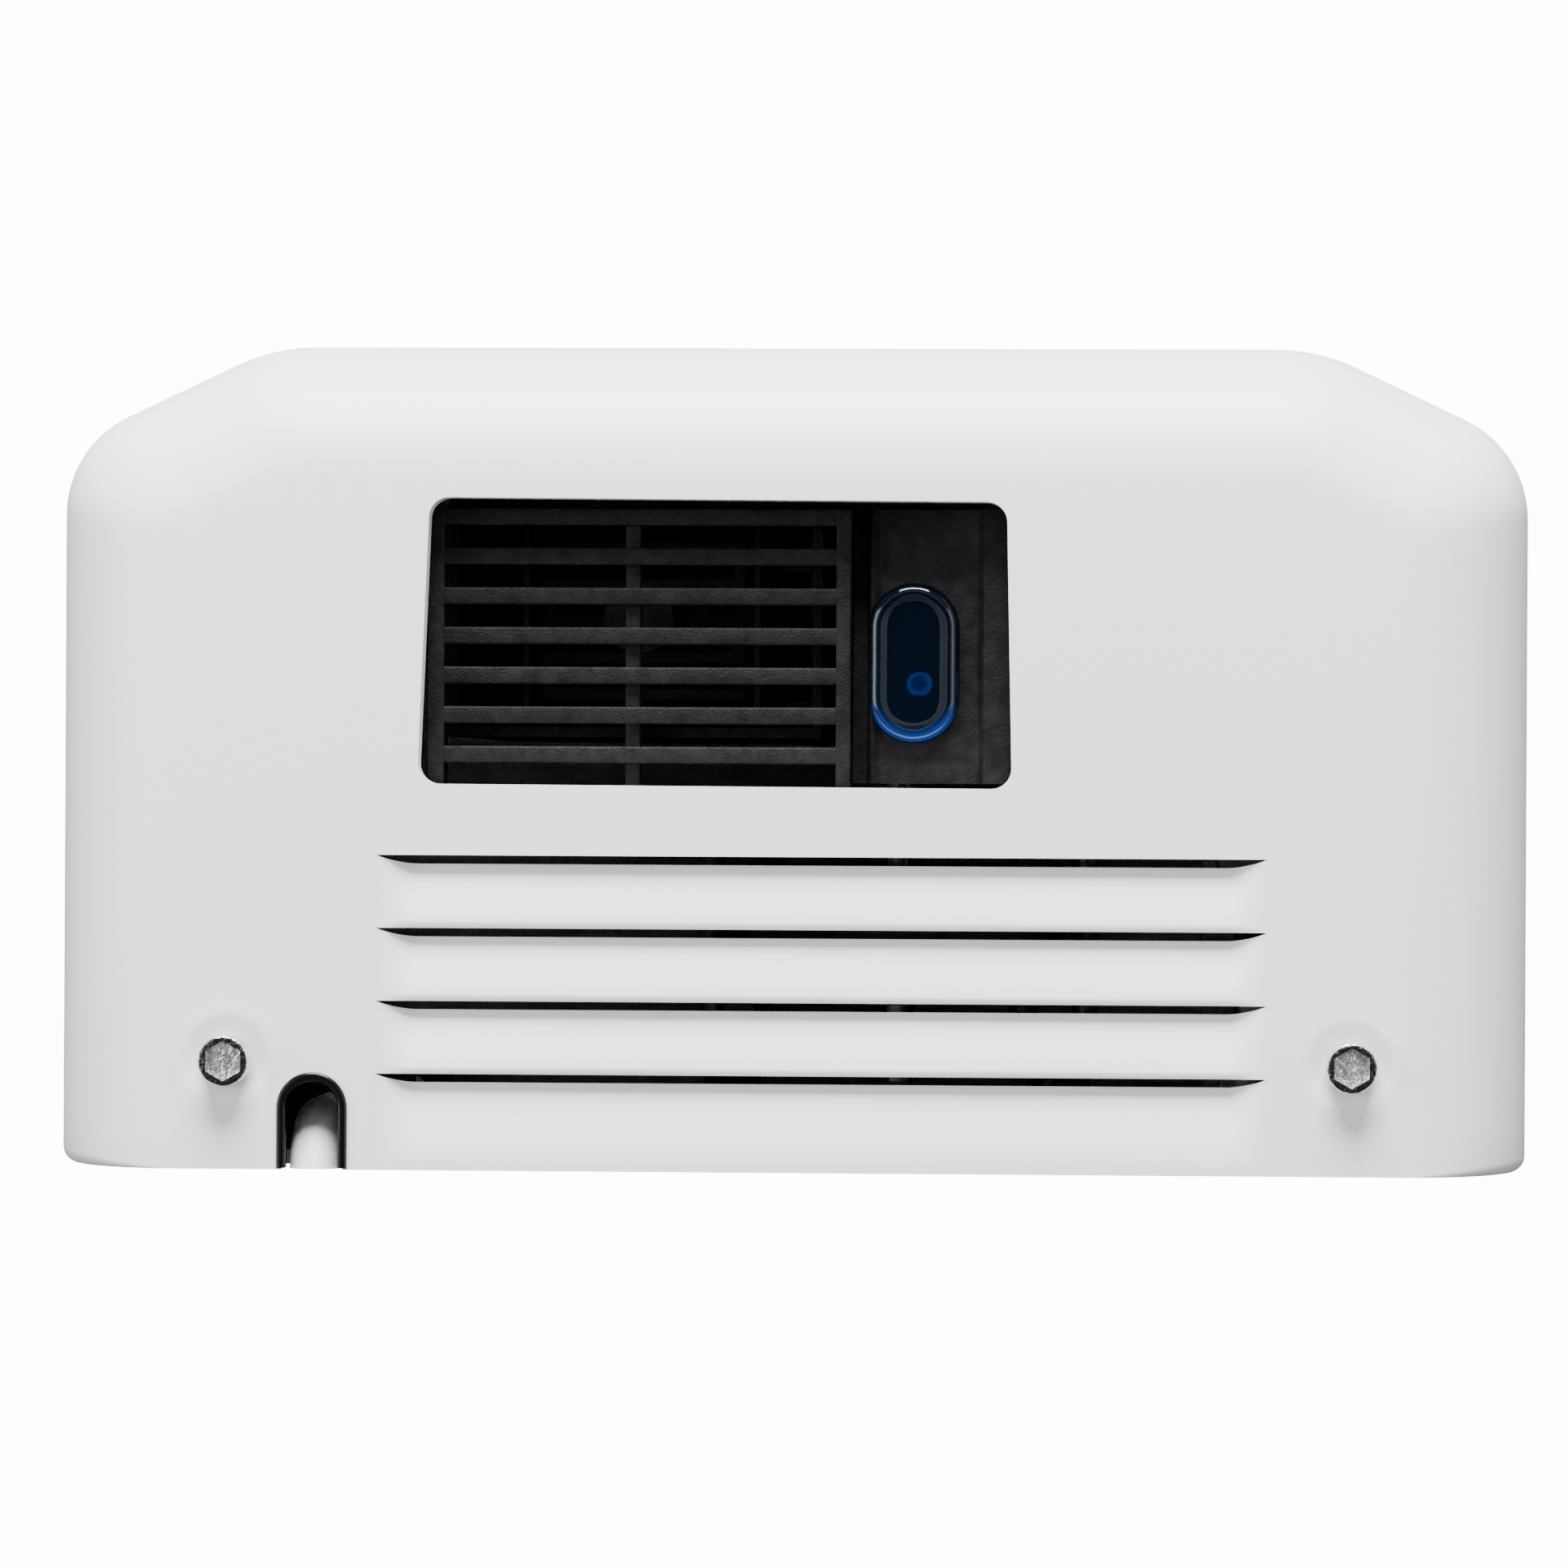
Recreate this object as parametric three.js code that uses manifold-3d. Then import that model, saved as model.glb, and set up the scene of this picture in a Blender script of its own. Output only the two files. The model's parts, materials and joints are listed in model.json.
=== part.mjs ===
// Wall-mounted automatic warm-air hand dryer with a one-piece pressed steel cover.
// Millimetres, +Z up as mounted. The wall is the plane y = 0 and the front faces -Y.
// The origin is the middle of the base plate's back face.
import * as THREE from 'three';
import { mergeVertices } from 'three/addons/utils/BufferGeometryUtils.js';
import Module from 'manifold-3d';

const wasm = await Module();
wasm.setup();

// ---- Driving dimensions ----
const GAP = 0.3; // between touching pieces
const CUT = 5; // how far a cutting shape reaches past the sheet it cuts

// cover
const COVER_WIDTH = 294;
const COVER_DEPTH = 163; // wall to front at the underside
const COVER_HEIGHT = 250;
const COVER_WALL = 1.6;
const FRONT_LEAN = 14; // the front stands this much further out at the top
const EDGE_FILLET = 26; // underside and top edges
const CHAMFER_SIDE = 42; // sideways size of the slanted corner
const CHAMFER_DEPTH = 20; // depth of the slanted corner
const FRONT_CORNER_RADIUS = 38;
const SIDE_CORNER_RADIUS = 22;

// openings in the underside
const WINDOW_LEFT = -73.5;
const WINDOW_RIGHT = 43;
const WINDOW_FROM_FRONT = 30; // sheet between the cover's front and the window
const WINDOW_DEPTH = 56.5;
const WINDOW_CORNER = 4;
const LOUVRE_LEFT = -80;
const LOUVRE_RIGHT = 94;
const LOUVRE_FIRST = -18.8; // slit nearest the wall
const LOUVRE_PITCH = 14.5;
const LOUVRE_COUNT = 4;
const LOUVRE_OPENING = 2;
const NOTCH_FROM_SIDE = 53;
const NOTCH_CLEARANCE = 1.2; // notch edge to cable
const NOTCH_DEPTH = 18.4;
const EDGING_THICKNESS = 1.1;
const EDGING_INWARD = 0.6; // how far the edging reaches into the notch
const EDGING_LIP = 1;

// cover screws
const SCREW_FROM_SIDE = 36;
const SCREW_FROM_WALL = 21.6;
const SCREW_SHANK_R = 3;
const SCREW_HEAD_R = 5;
const SCREW_HEAD_HEIGHT = 6;
const SCREW_SOCKET_R = 2.9;
const SCREW_SOCKET_DEPTH = 3.5;
const SCREW_LENGTH = 14;
const SCREW_CLEARANCE = 0.4;
const THREAD_CLEARANCE = 0.1;
const NUT_SIZE = 10;
const NUT_HEIGHT = 5;

// base plate
const PLATE_THICKNESS = 3;
const PLATE_MARGIN = 4; // inside the cover's wall
const PLATE_CORNER = 14;
const FOOT_HEIGHT = 24; // web that joins each lug to the plate
const HOOK_HALF_WIDTH = 90; // ledge under the cover's top
const HOOK_DEPTH = 18;
const HOOK_THICKNESS = 6;
const LUG_WIDTH = 16;
const LUG_LENGTH = 36;
const LUG_THICKNESS = 2.5;
const LUG_CLEARANCE = 0.5; // cover's inside to lug
const KEYHOLE_FROM_SIDE = 67;
const KEYHOLE_FROM_TOP = 37;
const KEYHOLE_HEAD_R = 6;
const KEYHOLE_SLOT_R = 3;
const KEYHOLE_DROP = 13;

// blower
const BLOWER_X = 18;
const SCROLL_LENGTH = 48;
const SCROLL_WALL = 2.4;
const SCROLL_TOP_ROOM = 1; // widest part of the scroll to the cover's top
const SCROLL_CLEARANCE = 6; // impeller to scroll at its narrowest
const SCROLL_GROWTH = 26; // from the narrowest to the widest radius
const EYE_R = 33;
const IMPELLER_R = 52;
const IMPELLER_END_ROOM = 4;
const IMPELLER_WIDTH = 32;
const IMPELLER_HUB_R = 9;
const BLADE_COUNT = 18;
const BLADE_THICKNESS = 1.2;
const BLADE_LENGTH = 18;
const BLADE_ANGLE = 0.5;
const DISC_THICKNESS = 2;
const SHAFT_R = 4;
const SHAFT_CLEARANCE = 0.06;
const NUT_FRONT_R = 7;
const NUT_FRONT_LENGTH = 4.7;

// motor
const MOTOR_BACK = -14;
const STATOR_SIZE = 74;
const STATOR_LENGTH = 30;
const STATOR_BORE_R = 22;
const STATOR_CORNER = 8;
const AIR_GAP = 0.6; // rotor to stator
const WINDING_X = 28; // slot's distance from the shaft
const WINDING_WIDTH = 8;
const WINDING_HEIGHT = 28;
const WINDING_OVERHANG = 7;
const BRACKET_ROOM = 12; // bracket to laminations
const BEARING_R = 9;
const BEARING_LENGTH = 8;
const BRACKET_THICKNESS = 3;
const BRACKET_WIDTH = 20;
const BRACKET_OVERHANG = 8;
const BRACKET_PILLAR_R = 3;
const MOUNT_R = 7;

// outlet
const DUCT_RIGHT = 6;
const DUCT_WALL = 2;
const GRILLE_DEPTH_IN = 9; // grille face above the cover's underside
const GRILLE_HEIGHT = 9;
const GRILLE_LEFT = -72.5;
const GRILLE_RIGHT = 12;
const GRILLE_BAR = 3.4;
const GRILLE_PITCH = 7.9;
const GRILLE_SLOTS = 7;
const GRILLE_MIDDLE_X = -31.5;
const GRILLE_MIDDLE_WIDTH = 3;
const GRILLE_END_LEFT = 3.5;
const GRILLE_END_RIGHT = 3;
const WINDOW_CLEARANCE = 1.5; // window edge to grille
const CARD_THICKNESS = 1.2;
const CARD_INSET = 12;
const COIL_PITCH = 12;
const COIL_WIRE = 2;
const COIL_ROWS = 5;
const COIL_INSET = 15;
const COIL_LEVEL = 38; // lowest element above the grille's face
const CUTOUT_R = 7;
const CUTOUT_HEIGHT = 8;

// sensor
const LENS_X = 24.5;
const LENS_FROM_WINDOW = 32;
const LENS_WIDTH = 17.6;
const LENS_LENGTH = 31.4;
const LENS_HEIGHT = 7;
const LENS_WALL = 1.6;
const SENSOR_RIGHT = 48;
const SENSOR_HEIGHT = 26;
const SENSOR_WALL = 2.2;
const LENS_PROUD = 2;
const SENSOR_BOARD_LEVEL = 12; // above the grille's face
const SENSOR_BOARD_WIDTH = 15;
const SENSOR_BOARD_LENGTH = 28;
const LED_R = 2.5;
const RECEIVER_SIZE = 7;

// electrics
const BOARD_THICKNESS = 1.6;
const BOARD_FROM_SIDE = 19;
const BOARD_WIDTH = 40;
const BOARD_Z0 = -62;
const BOARD_Z1 = 28;
const BOARD_Y = -22;
const PILLAR_R = 3;
const PILLAR_INSET = 5;
const TRIMMER_SIZE = 12;
const TRIMMER_HEIGHT = 6;
const KNOB_R = 4;
const KNOB_CLEARANCE = 0.2;
const KNOB_SLOT = 1.2;
const CAPACITOR_R = 15;
const CAPACITOR_FROM_SIDE = 43;
const CAPACITOR_Y = -62;
const CAPACITOR_Z0 = 40;
const CAPACITOR_Z1 = 92;
const CABLE_R = 5;
const CABLE_BEND = 14;
const CABLE_CLEARANCE = 0.5; // cable to base plate
const CABLE_STRAIGHT = 75; // from the terminals to the start of the bend
const CABLE_BEND_TOP = 19; // start of the bend above the cover's underside

// ---- Worked out from the above ----
const HALF_WIDTH = COVER_WIDTH / 2;
const BOTTOM = -COVER_HEIGHT / 2;
const TOP = COVER_HEIGHT / 2;
const WINDOW_FRONT = WINDOW_FROM_FRONT - COVER_DEPTH;
const WINDOW_BACK = WINDOW_FRONT + WINDOW_DEPTH;
const NOTCH_X = NOTCH_FROM_SIDE - HALF_WIDTH;
const NOTCH_WIDTH = 2 * (CABLE_R + NOTCH_CLEARANCE);
const SCREW_X = HALF_WIDTH - SCREW_FROM_SIDE;
const KEYHOLE_X = HALF_WIDTH - KEYHOLE_FROM_SIDE;
const KEYHOLE_Z = TOP - KEYHOLE_FROM_TOP;
const SCROLL_FRONT = WINDOW_FRONT - 1;
const SCROLL_BACK = SCROLL_FRONT + SCROLL_LENGTH;
const SCROLL_START_R = IMPELLER_R + SCROLL_CLEARANCE;
const SCROLL_END_R = SCROLL_START_R + SCROLL_GROWTH;
const BLOWER_Z = TOP - SCROLL_END_R - SCROLL_TOP_ROOM;
const ROTOR_R = STATOR_BORE_R - AIR_GAP;
const DUCT_LEFT = BLOWER_X - SCROLL_END_R - SCROLL_WALL - 0.6;
const LENS_Y = WINDOW_FRONT + LENS_FROM_WINDOW;
const INSIDE_BOTTOM = BOTTOM + COVER_WALL;
const LUG_Z = INSIDE_BOTTOM + LUG_CLEARANCE;
const GRILLE_Z = BOTTOM + GRILLE_DEPTH_IN;
const DUCT_TOP = BLOWER_Z - SCROLL_START_R - SCROLL_WALL;
const PLATE_HALF_X = HALF_WIDTH - COVER_WALL - PLATE_MARGIN;
const PLATE_HALF_Z = COVER_HEIGHT / 2 - COVER_WALL - PLATE_MARGIN;

// ---- Shape helpers ----
function toSolid(geometry) {
  const bare = geometry.clone();
  bare.deleteAttribute('normal');
  bare.deleteAttribute('uv');
  const merged = mergeVertices(bare, 1e-4);
  const mesh = new wasm.Mesh({
    numProp: 3,
    vertProperties: new Float32Array(merged.attributes.position.array),
    triVerts: new Uint32Array(merged.index.array),
  });
  return new wasm.Manifold(mesh);
}

function toGeometry(solid) {
  const mesh = solid.getMesh();
  const geometry = new THREE.BufferGeometry();
  geometry.setAttribute('position', new THREE.BufferAttribute(mesh.vertProperties, 3));
  geometry.setIndex(new THREE.BufferAttribute(mesh.triVerts, 1));
  return geometry;
}

function join(...geometries) {
  return toGeometry(geometries.map(toSolid).reduce((whole, next) => whole.add(next)));
}

function cut(geometry, ...tools) {
  return toGeometry(tools.map(toSolid).reduce((whole, tool) => whole.subtract(tool), toSolid(geometry)));
}

function keep(geometry, tool) {
  return toGeometry(toSolid(geometry).intersect(toSolid(tool)));
}

function box(x0, x1, y0, y1, z0, z1) {
  const geometry = new THREE.BoxGeometry(x1 - x0, y1 - y0, z1 - z0);
  return geometry.translate((x0 + x1) / 2, (y0 + y1) / 2, (z0 + z1) / 2);
}

// A round bar along Z from z0 to z1.
function barZ(radius, x, y, z0, z1, sides = 24) {
  const geometry = new THREE.CylinderGeometry(radius, radius, z1 - z0, sides);
  return geometry.rotateX(Math.PI / 2).translate(x, y, (z0 + z1) / 2);
}

// A round bar along Y from y0 to y1.
function barY(radius, x, z, y0, y1, sides = 24) {
  const geometry = new THREE.CylinderGeometry(radius, radius, y1 - y0, sides);
  return geometry.translate(x, (y0 + y1) / 2, z);
}

// A flat outline in X and Z made solid from y0 to y1.
function plateY(shape, y0, y1, curveSegments = 8) {
  const geometry = new THREE.ExtrudeGeometry(shape, { depth: y1 - y0, bevelEnabled: false, curveSegments });
  return geometry.rotateX(Math.PI / 2).translate(0, y1, 0);
}

// A flat outline in X and Y made solid from z0 to z1.
function plateZ(shape, z0, z1, curveSegments = 8) {
  const geometry = new THREE.ExtrudeGeometry(shape, { depth: z1 - z0, bevelEnabled: false, curveSegments });
  return geometry.translate(0, 0, z0);
}

function roundedRectangle(x0, x1, y0, y1, r) {
  const shape = new THREE.Shape();
  shape.moveTo(x0 + r, y0);
  shape.lineTo(x1 - r, y0);
  shape.absarc(x1 - r, y0 + r, r, -Math.PI / 2, 0, false);
  shape.lineTo(x1, y1 - r);
  shape.absarc(x1 - r, y1 - r, r, 0, Math.PI / 2, false);
  shape.lineTo(x0 + r, y1);
  shape.absarc(x0 + r, y1 - r, r, Math.PI / 2, Math.PI, false);
  shape.lineTo(x0, y0 + r);
  shape.absarc(x0 + r, y0 + r, r, Math.PI, Math.PI * 1.5, false);
  return shape;
}

// ---- Cover ----
// Rounds the corner between two straight sides by an arc of the given radius.
function cornerArc(before, corner, after, radius, steps) {
  const into = new THREE.Vector2().subVectors(corner, before).normalize();
  const out = new THREE.Vector2().subVectors(after, corner).normalize();
  const turn = Math.acos(THREE.MathUtils.clamp(into.dot(out), -1, 1));
  const setback = radius * Math.tan(turn / 2);
  const start = corner.clone().addScaledVector(into, -setback);
  const side = new THREE.Vector2(-into.y, into.x);
  const centre = start.clone().addScaledVector(side, radius);
  const points = [];
  for (let i = 0; i <= steps; i += 1) {
    const angle = turn * i / steps;
    const arm = new THREE.Vector2().subVectors(start, centre).rotateAround(new THREE.Vector2(), angle);
    points.push(centre.clone().add(arm));
  }
  return points;
}

// The cover's outline seen from below at one height: flat front, slanted corners, straight sides.
function coverOutline(inset, depth, back) {
  const half = HALF_WIDTH - inset;
  const front = -depth + inset;
  const slope = Math.hypot(CHAMFER_SIDE, CHAMFER_DEPTH);
  const sideStart = -depth + CHAMFER_DEPTH + inset * (slope - CHAMFER_DEPTH) / CHAMFER_SIDE;
  const frontHalf = HALF_WIDTH - CHAMFER_SIDE - inset * (slope - CHAMFER_SIDE) / CHAMFER_DEPTH;
  const corners = [
    new THREE.Vector2(-half, back),
    new THREE.Vector2(-half, sideStart),
    new THREE.Vector2(-frontHalf, front),
    new THREE.Vector2(frontHalf, front),
    new THREE.Vector2(half, sideStart),
    new THREE.Vector2(half, back),
  ];
  const sideRadius = Math.max(SIDE_CORNER_RADIUS - inset * 0.7, 2);
  const frontRadius = Math.max(FRONT_CORNER_RADIUS - inset * 0.7, 2);
  return [
    corners[0],
    ...cornerArc(corners[0], corners[1], corners[2], sideRadius, 5),
    ...cornerArc(corners[1], corners[2], corners[3], frontRadius, 4),
    ...cornerArc(corners[2], corners[3], corners[4], frontRadius, 4),
    ...cornerArc(corners[3], corners[4], corners[5], sideRadius, 5),
    corners[5],
  ];
}

// A closed block of the cover's outer form, shrunk by the wall for its inside.
function coverBlock(wall, back) {
  const radius = EDGE_FILLET - wall;
  const rings = [];
  const steps = 6;
  const low = BOTTOM + wall;
  const high = TOP - wall;
  const levels = [];
  for (let i = 0; i <= steps; i += 1) {
    const angle = (Math.PI / 2) * i / steps;
    levels.push([low + radius * (1 - Math.cos(angle)), radius * (1 - Math.sin(angle))]);
  }
  for (let i = steps; i >= 0; i -= 1) {
    const angle = (Math.PI / 2) * i / steps;
    levels.push([high - radius * (1 - Math.cos(angle)), radius * (1 - Math.sin(angle))]);
  }
  for (const [z, inset] of levels) {
    const lean = FRONT_LEAN * (z - BOTTOM) / COVER_HEIGHT;
    rings.push(coverOutline(wall + inset, COVER_DEPTH + lean, back).map((p) => [p.x, p.y, z]));
  }
  const count = rings[0].length;
  const positions = rings.flat(2);
  const faces = [];
  for (let r = 0; r < rings.length - 1; r += 1) {
    for (let i = 0; i < count; i += 1) {
      const next = (i + 1) % count;
      const a = r * count + i;
      const b = r * count + next;
      faces.push(a, b, b + count, a, b + count, a + count);
    }
  }
  const last = (rings.length - 1) * count;
  for (let i = 1; i < count - 1; i += 1) {
    faces.push(0, i + 1, i);
    faces.push(last, last + i, last + i + 1);
  }
  const geometry = new THREE.BufferGeometry();
  geometry.setAttribute('position', new THREE.BufferAttribute(new Float32Array(positions), 3));
  geometry.setIndex(faces);
  return geometry;
}

// The U-shaped cable notch, open at the wall side.
function notchShape(grow) {
  const r = NOTCH_WIDTH / 2 + grow;
  const crown = -NOTCH_DEPTH + NOTCH_WIDTH / 2;
  const shape = new THREE.Shape();
  shape.moveTo(NOTCH_X + r, 1);
  shape.lineTo(NOTCH_X - r, 1);
  shape.lineTo(NOTCH_X - r, crown);
  shape.absarc(NOTCH_X, crown, r, Math.PI, Math.PI * 2, false);
  return shape;
}

function makeCover() {
  const shell = cut(coverBlock(0, 0), coverBlock(COVER_WALL, 1));
  const window = plateZ(
    roundedRectangle(WINDOW_LEFT, WINDOW_RIGHT, WINDOW_FRONT, WINDOW_BACK, WINDOW_CORNER),
    BOTTOM - CUT, BOTTOM + CUT, 4);
  const notch = plateZ(notchShape(0), BOTTOM - CUT, BOTTOM + CUT, 10);
  const tools = [window, notch];
  for (let i = 0; i < LOUVRE_COUNT; i += 1) {
    const y = LOUVRE_FIRST - i * LOUVRE_PITCH;
    const half = LOUVRE_OPENING / 2;
    tools.push(box(LOUVRE_LEFT, LOUVRE_RIGHT, y - half, y + half, BOTTOM - CUT, BOTTOM + CUT));
  }
  for (const side of [-1, 1]) {
    const hole = SCREW_SHANK_R + SCREW_CLEARANCE;
    tools.push(barZ(hole, side * SCREW_X, -SCREW_FROM_WALL, BOTTOM - CUT, BOTTOM + CUT));
  }
  return cut(shell, ...tools);
}

// Moulded edging that grips the edge of the cable notch, a groove round the sheet.
function makeEdging() {
  const low = BOTTOM - EDGING_LIP;
  const high = INSIDE_BOTTOM + EDGING_LIP;
  const left = NOTCH_X - NOTCH_WIDTH;
  const right = NOTCH_X + NOTCH_WIDTH;
  const outer = plateZ(notchShape(EDGING_THICKNESS - EDGING_INWARD), low, high, 10);
  const hole = plateZ(notchShape(-EDGING_INWARD - GAP), low - CUT, high + CUT, 10);
  const sheet = cut(
    box(left, right, -2 * NOTCH_DEPTH, CUT, BOTTOM - GAP, INSIDE_BOTTOM + GAP),
    plateZ(notchShape(-GAP), low - CUT, high + CUT, 10));
  const behindWall = box(left, right, -GAP, CUT, low - CUT, high + CUT);
  return cut(outer, hole, sheet, behindWall);
}

function makeScrew(x) {
  const seat = BOTTOM - GAP;
  const head = barZ(SCREW_HEAD_R, x, -SCREW_FROM_WALL, seat - SCREW_HEAD_HEIGHT, seat, 32);
  const shank = barZ(SCREW_SHANK_R - THREAD_CLEARANCE, x, -SCREW_FROM_WALL, seat - 1, seat + SCREW_LENGTH);
  const face = seat - SCREW_HEAD_HEIGHT;
  const socket = barZ(SCREW_SOCKET_R, x, -SCREW_FROM_WALL, face - CUT, face + SCREW_SOCKET_DEPTH, 6);
  return cut(join(head, shank), socket);
}

function makeNut(x) {
  const low = LUG_Z + LUG_THICKNESS + GAP;
  const half = NUT_SIZE / 2;
  const y = -SCREW_FROM_WALL;
  const body = box(x - half, x + half, y - half, y + half, low, low + NUT_HEIGHT);
  return cut(body, barZ(SCREW_SHANK_R + GAP, x, y, low - CUT, low + NUT_HEIGHT + CUT));
}

// ---- Base plate ----
function makeBasePlate() {
  const outline = roundedRectangle(-PLATE_HALF_X, PLATE_HALF_X, -PLATE_HALF_Z, PLATE_HALF_Z, PLATE_CORNER);
  const hookTop = PLATE_HALF_Z + PLATE_MARGIN - 1;
  const parts = [
    plateY(outline, -PLATE_THICKNESS, 0, 5),
    box(-HOOK_HALF_WIDTH, HOOK_HALF_WIDTH, -HOOK_DEPTH, 0, hookTop - HOOK_THICKNESS, hookTop),
  ];
  const tools = [];
  const slot = SCREW_SHANK_R + SCREW_CLEARANCE;
  const lugTop = LUG_Z + LUG_THICKNESS;
  for (const side of [-1, 1]) {
    const x = side * SCREW_X;
    const left = x - LUG_WIDTH / 2;
    const right = x + LUG_WIDTH / 2;
    parts.push(box(left, right, -LUG_LENGTH, 0, LUG_Z, lugTop));
    parts.push(box(left, right, -PLATE_THICKNESS, 0, LUG_Z, LUG_Z + FOOT_HEIGHT));
    tools.push(barZ(slot, x, -SCREW_FROM_WALL, LUG_Z - 1, lugTop + 1));
    tools.push(box(x - slot, x + slot, -LUG_LENGTH - 1, -SCREW_FROM_WALL, LUG_Z - 1, lugTop + 1));
    const keyX = side * KEYHOLE_X;
    for (const z of [-KEYHOLE_Z, KEYHOLE_Z]) {
      const low = z - KEYHOLE_DROP;
      tools.push(barY(KEYHOLE_HEAD_R, keyX, low, -PLATE_THICKNESS - CUT, CUT));
      tools.push(barY(KEYHOLE_SLOT_R, keyX, z, -PLATE_THICKNESS - CUT, CUT, 16));
      tools.push(box(keyX - KEYHOLE_SLOT_R, keyX + KEYHOLE_SLOT_R, -PLATE_THICKNESS - CUT, CUT, low, z));
    }
  }
  const pass = NOTCH_WIDTH / 2 + NOTCH_CLEARANCE;
  tools.push(box(NOTCH_X - pass, NOTCH_X + pass, -LUG_LENGTH, CUT, BOTTOM, BOTTOM + CABLE_BEND_TOP));
  return cut(join(...parts), ...tools);
}

// ---- Blower ----
// The scroll's outline: its radius grows evenly from the tongue round to the outlet.
function scrollShape(grow) {
  const shape = new THREE.Shape();
  const steps = 26;
  const sweep = Math.PI * 1.5;
  for (let i = 0; i <= steps; i += 1) {
    const share = i / steps;
    const radius = SCROLL_START_R + (SCROLL_END_R - SCROLL_START_R) * share + grow;
    const angle = -Math.PI / 2 + sweep * share;
    const x = BLOWER_X + radius * Math.cos(angle);
    const z = BLOWER_Z + radius * Math.sin(angle);
    if (i === 0) {
      shape.moveTo(x, z);
    } else {
      shape.lineTo(x, z);
    }
  }
  const low = BLOWER_Z - SCROLL_START_R;
  shape.lineTo(BLOWER_X - SCROLL_END_R - grow, low - grow);
  return shape;
}

function makeScrollBody() {
  const outer = plateY(scrollShape(SCROLL_WALL), SCROLL_FRONT, SCROLL_BACK - SCROLL_WALL - GAP);
  const floor = SCROLL_FRONT + SCROLL_WALL;
  const inner = plateY(scrollShape(0), floor, SCROLL_BACK + CUT);
  const outlet = box(DUCT_LEFT + DUCT_WALL, DUCT_RIGHT - DUCT_WALL, floor, SCROLL_BACK + CUT,
    DUCT_TOP - CUT, DUCT_TOP + SCROLL_WALL + CUT);
  const shaftHole = barY(SHAFT_R + IMPELLER_END_ROOM, BLOWER_X, BLOWER_Z, SCROLL_FRONT - CUT, floor + 1);
  return cut(outer, inner, outlet, shaftHole);
}

function makeScrollBack() {
  const plate = plateY(scrollShape(SCROLL_WALL), SCROLL_BACK - SCROLL_WALL, SCROLL_BACK);
  return cut(plate, barY(EYE_R, BLOWER_X, BLOWER_Z, SCROLL_BACK - CUT, SCROLL_BACK + CUT, 32));
}

const IMPELLER_BACK = SCROLL_BACK - SCROLL_WALL - IMPELLER_END_ROOM;
const IMPELLER_FRONT = IMPELLER_BACK - IMPELLER_WIDTH;

function makeImpeller() {
  const disc = barY(IMPELLER_R, BLOWER_X, BLOWER_Z, IMPELLER_FRONT, IMPELLER_FRONT + DISC_THICKNESS, 40);
  const hub = barY(IMPELLER_HUB_R, BLOWER_X, BLOWER_Z, IMPELLER_FRONT, IMPELLER_BACK - 4);
  const shroud = cut(
    barY(IMPELLER_R, BLOWER_X, BLOWER_Z, IMPELLER_BACK - DISC_THICKNESS, IMPELLER_BACK, 40),
    barY(EYE_R + 3, BLOWER_X, BLOWER_Z, IMPELLER_BACK - CUT, IMPELLER_BACK + CUT, 32));
  const parts = [disc, hub, shroud];
  for (let i = 0; i < BLADE_COUNT; i += 1) {
    const blade = new THREE.BoxGeometry(BLADE_LENGTH, IMPELLER_WIDTH - 1, BLADE_THICKNESS);
    blade.rotateY(BLADE_ANGLE);
    blade.translate(IMPELLER_R - BLADE_LENGTH / 2 - 1, (IMPELLER_BACK + IMPELLER_FRONT) / 2, 0);
    blade.rotateY(Math.PI * 2 * i / BLADE_COUNT);
    blade.translate(BLOWER_X, 0, BLOWER_Z);
    parts.push(blade);
  }
  const bore = barY(SHAFT_R + GAP, BLOWER_X, BLOWER_Z, IMPELLER_FRONT - CUT, IMPELLER_BACK + CUT);
  return cut(join(...parts), bore);
}

// ---- Motor ----
const BEARING_REAR_Y = MOTOR_BACK - BRACKET_THICKNESS;
const STATOR_BACK = BEARING_REAR_Y - BRACKET_ROOM;
const STATOR_FRONT = STATOR_BACK - STATOR_LENGTH;
const BEARING_FRONT_Y = STATOR_FRONT - BRACKET_ROOM;

// A strap across the motor, centred on y, with a hole for its bearing.
function makeBracket(y) {
  const half = STATOR_SIZE / 2 + BRACKET_OVERHANG;
  const strap = box(BLOWER_X - half, BLOWER_X + half, y - BRACKET_THICKNESS / 2, y + BRACKET_THICKNESS / 2,
    BLOWER_Z - BRACKET_WIDTH / 2, BLOWER_Z + BRACKET_WIDTH / 2);
  return cut(strap, barY(BEARING_R + GAP, BLOWER_X, BLOWER_Z, y - CUT, y + CUT));
}

function makeBearing(y) {
  const body = barY(BEARING_R, BLOWER_X, BLOWER_Z, y - BEARING_LENGTH / 2, y + BEARING_LENGTH / 2);
  return cut(body, barY(SHAFT_R + SHAFT_CLEARANCE, BLOWER_X, BLOWER_Z, y - CUT, y + CUT, 32));
}

function makeStator() {
  const half = STATOR_SIZE / 2;
  const block = plateY(
    roundedRectangle(BLOWER_X - half, BLOWER_X + half, BLOWER_Z - half, BLOWER_Z + half, STATOR_CORNER),
    STATOR_FRONT, STATOR_BACK, 3);
  const tools = [barY(STATOR_BORE_R, BLOWER_X, BLOWER_Z, STATOR_FRONT - CUT, STATOR_BACK + CUT, 36)];
  for (const side of [-1, 1]) {
    tools.push(windingBlock(side, 0, CUT));
  }
  return cut(block, ...tools);
}

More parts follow.
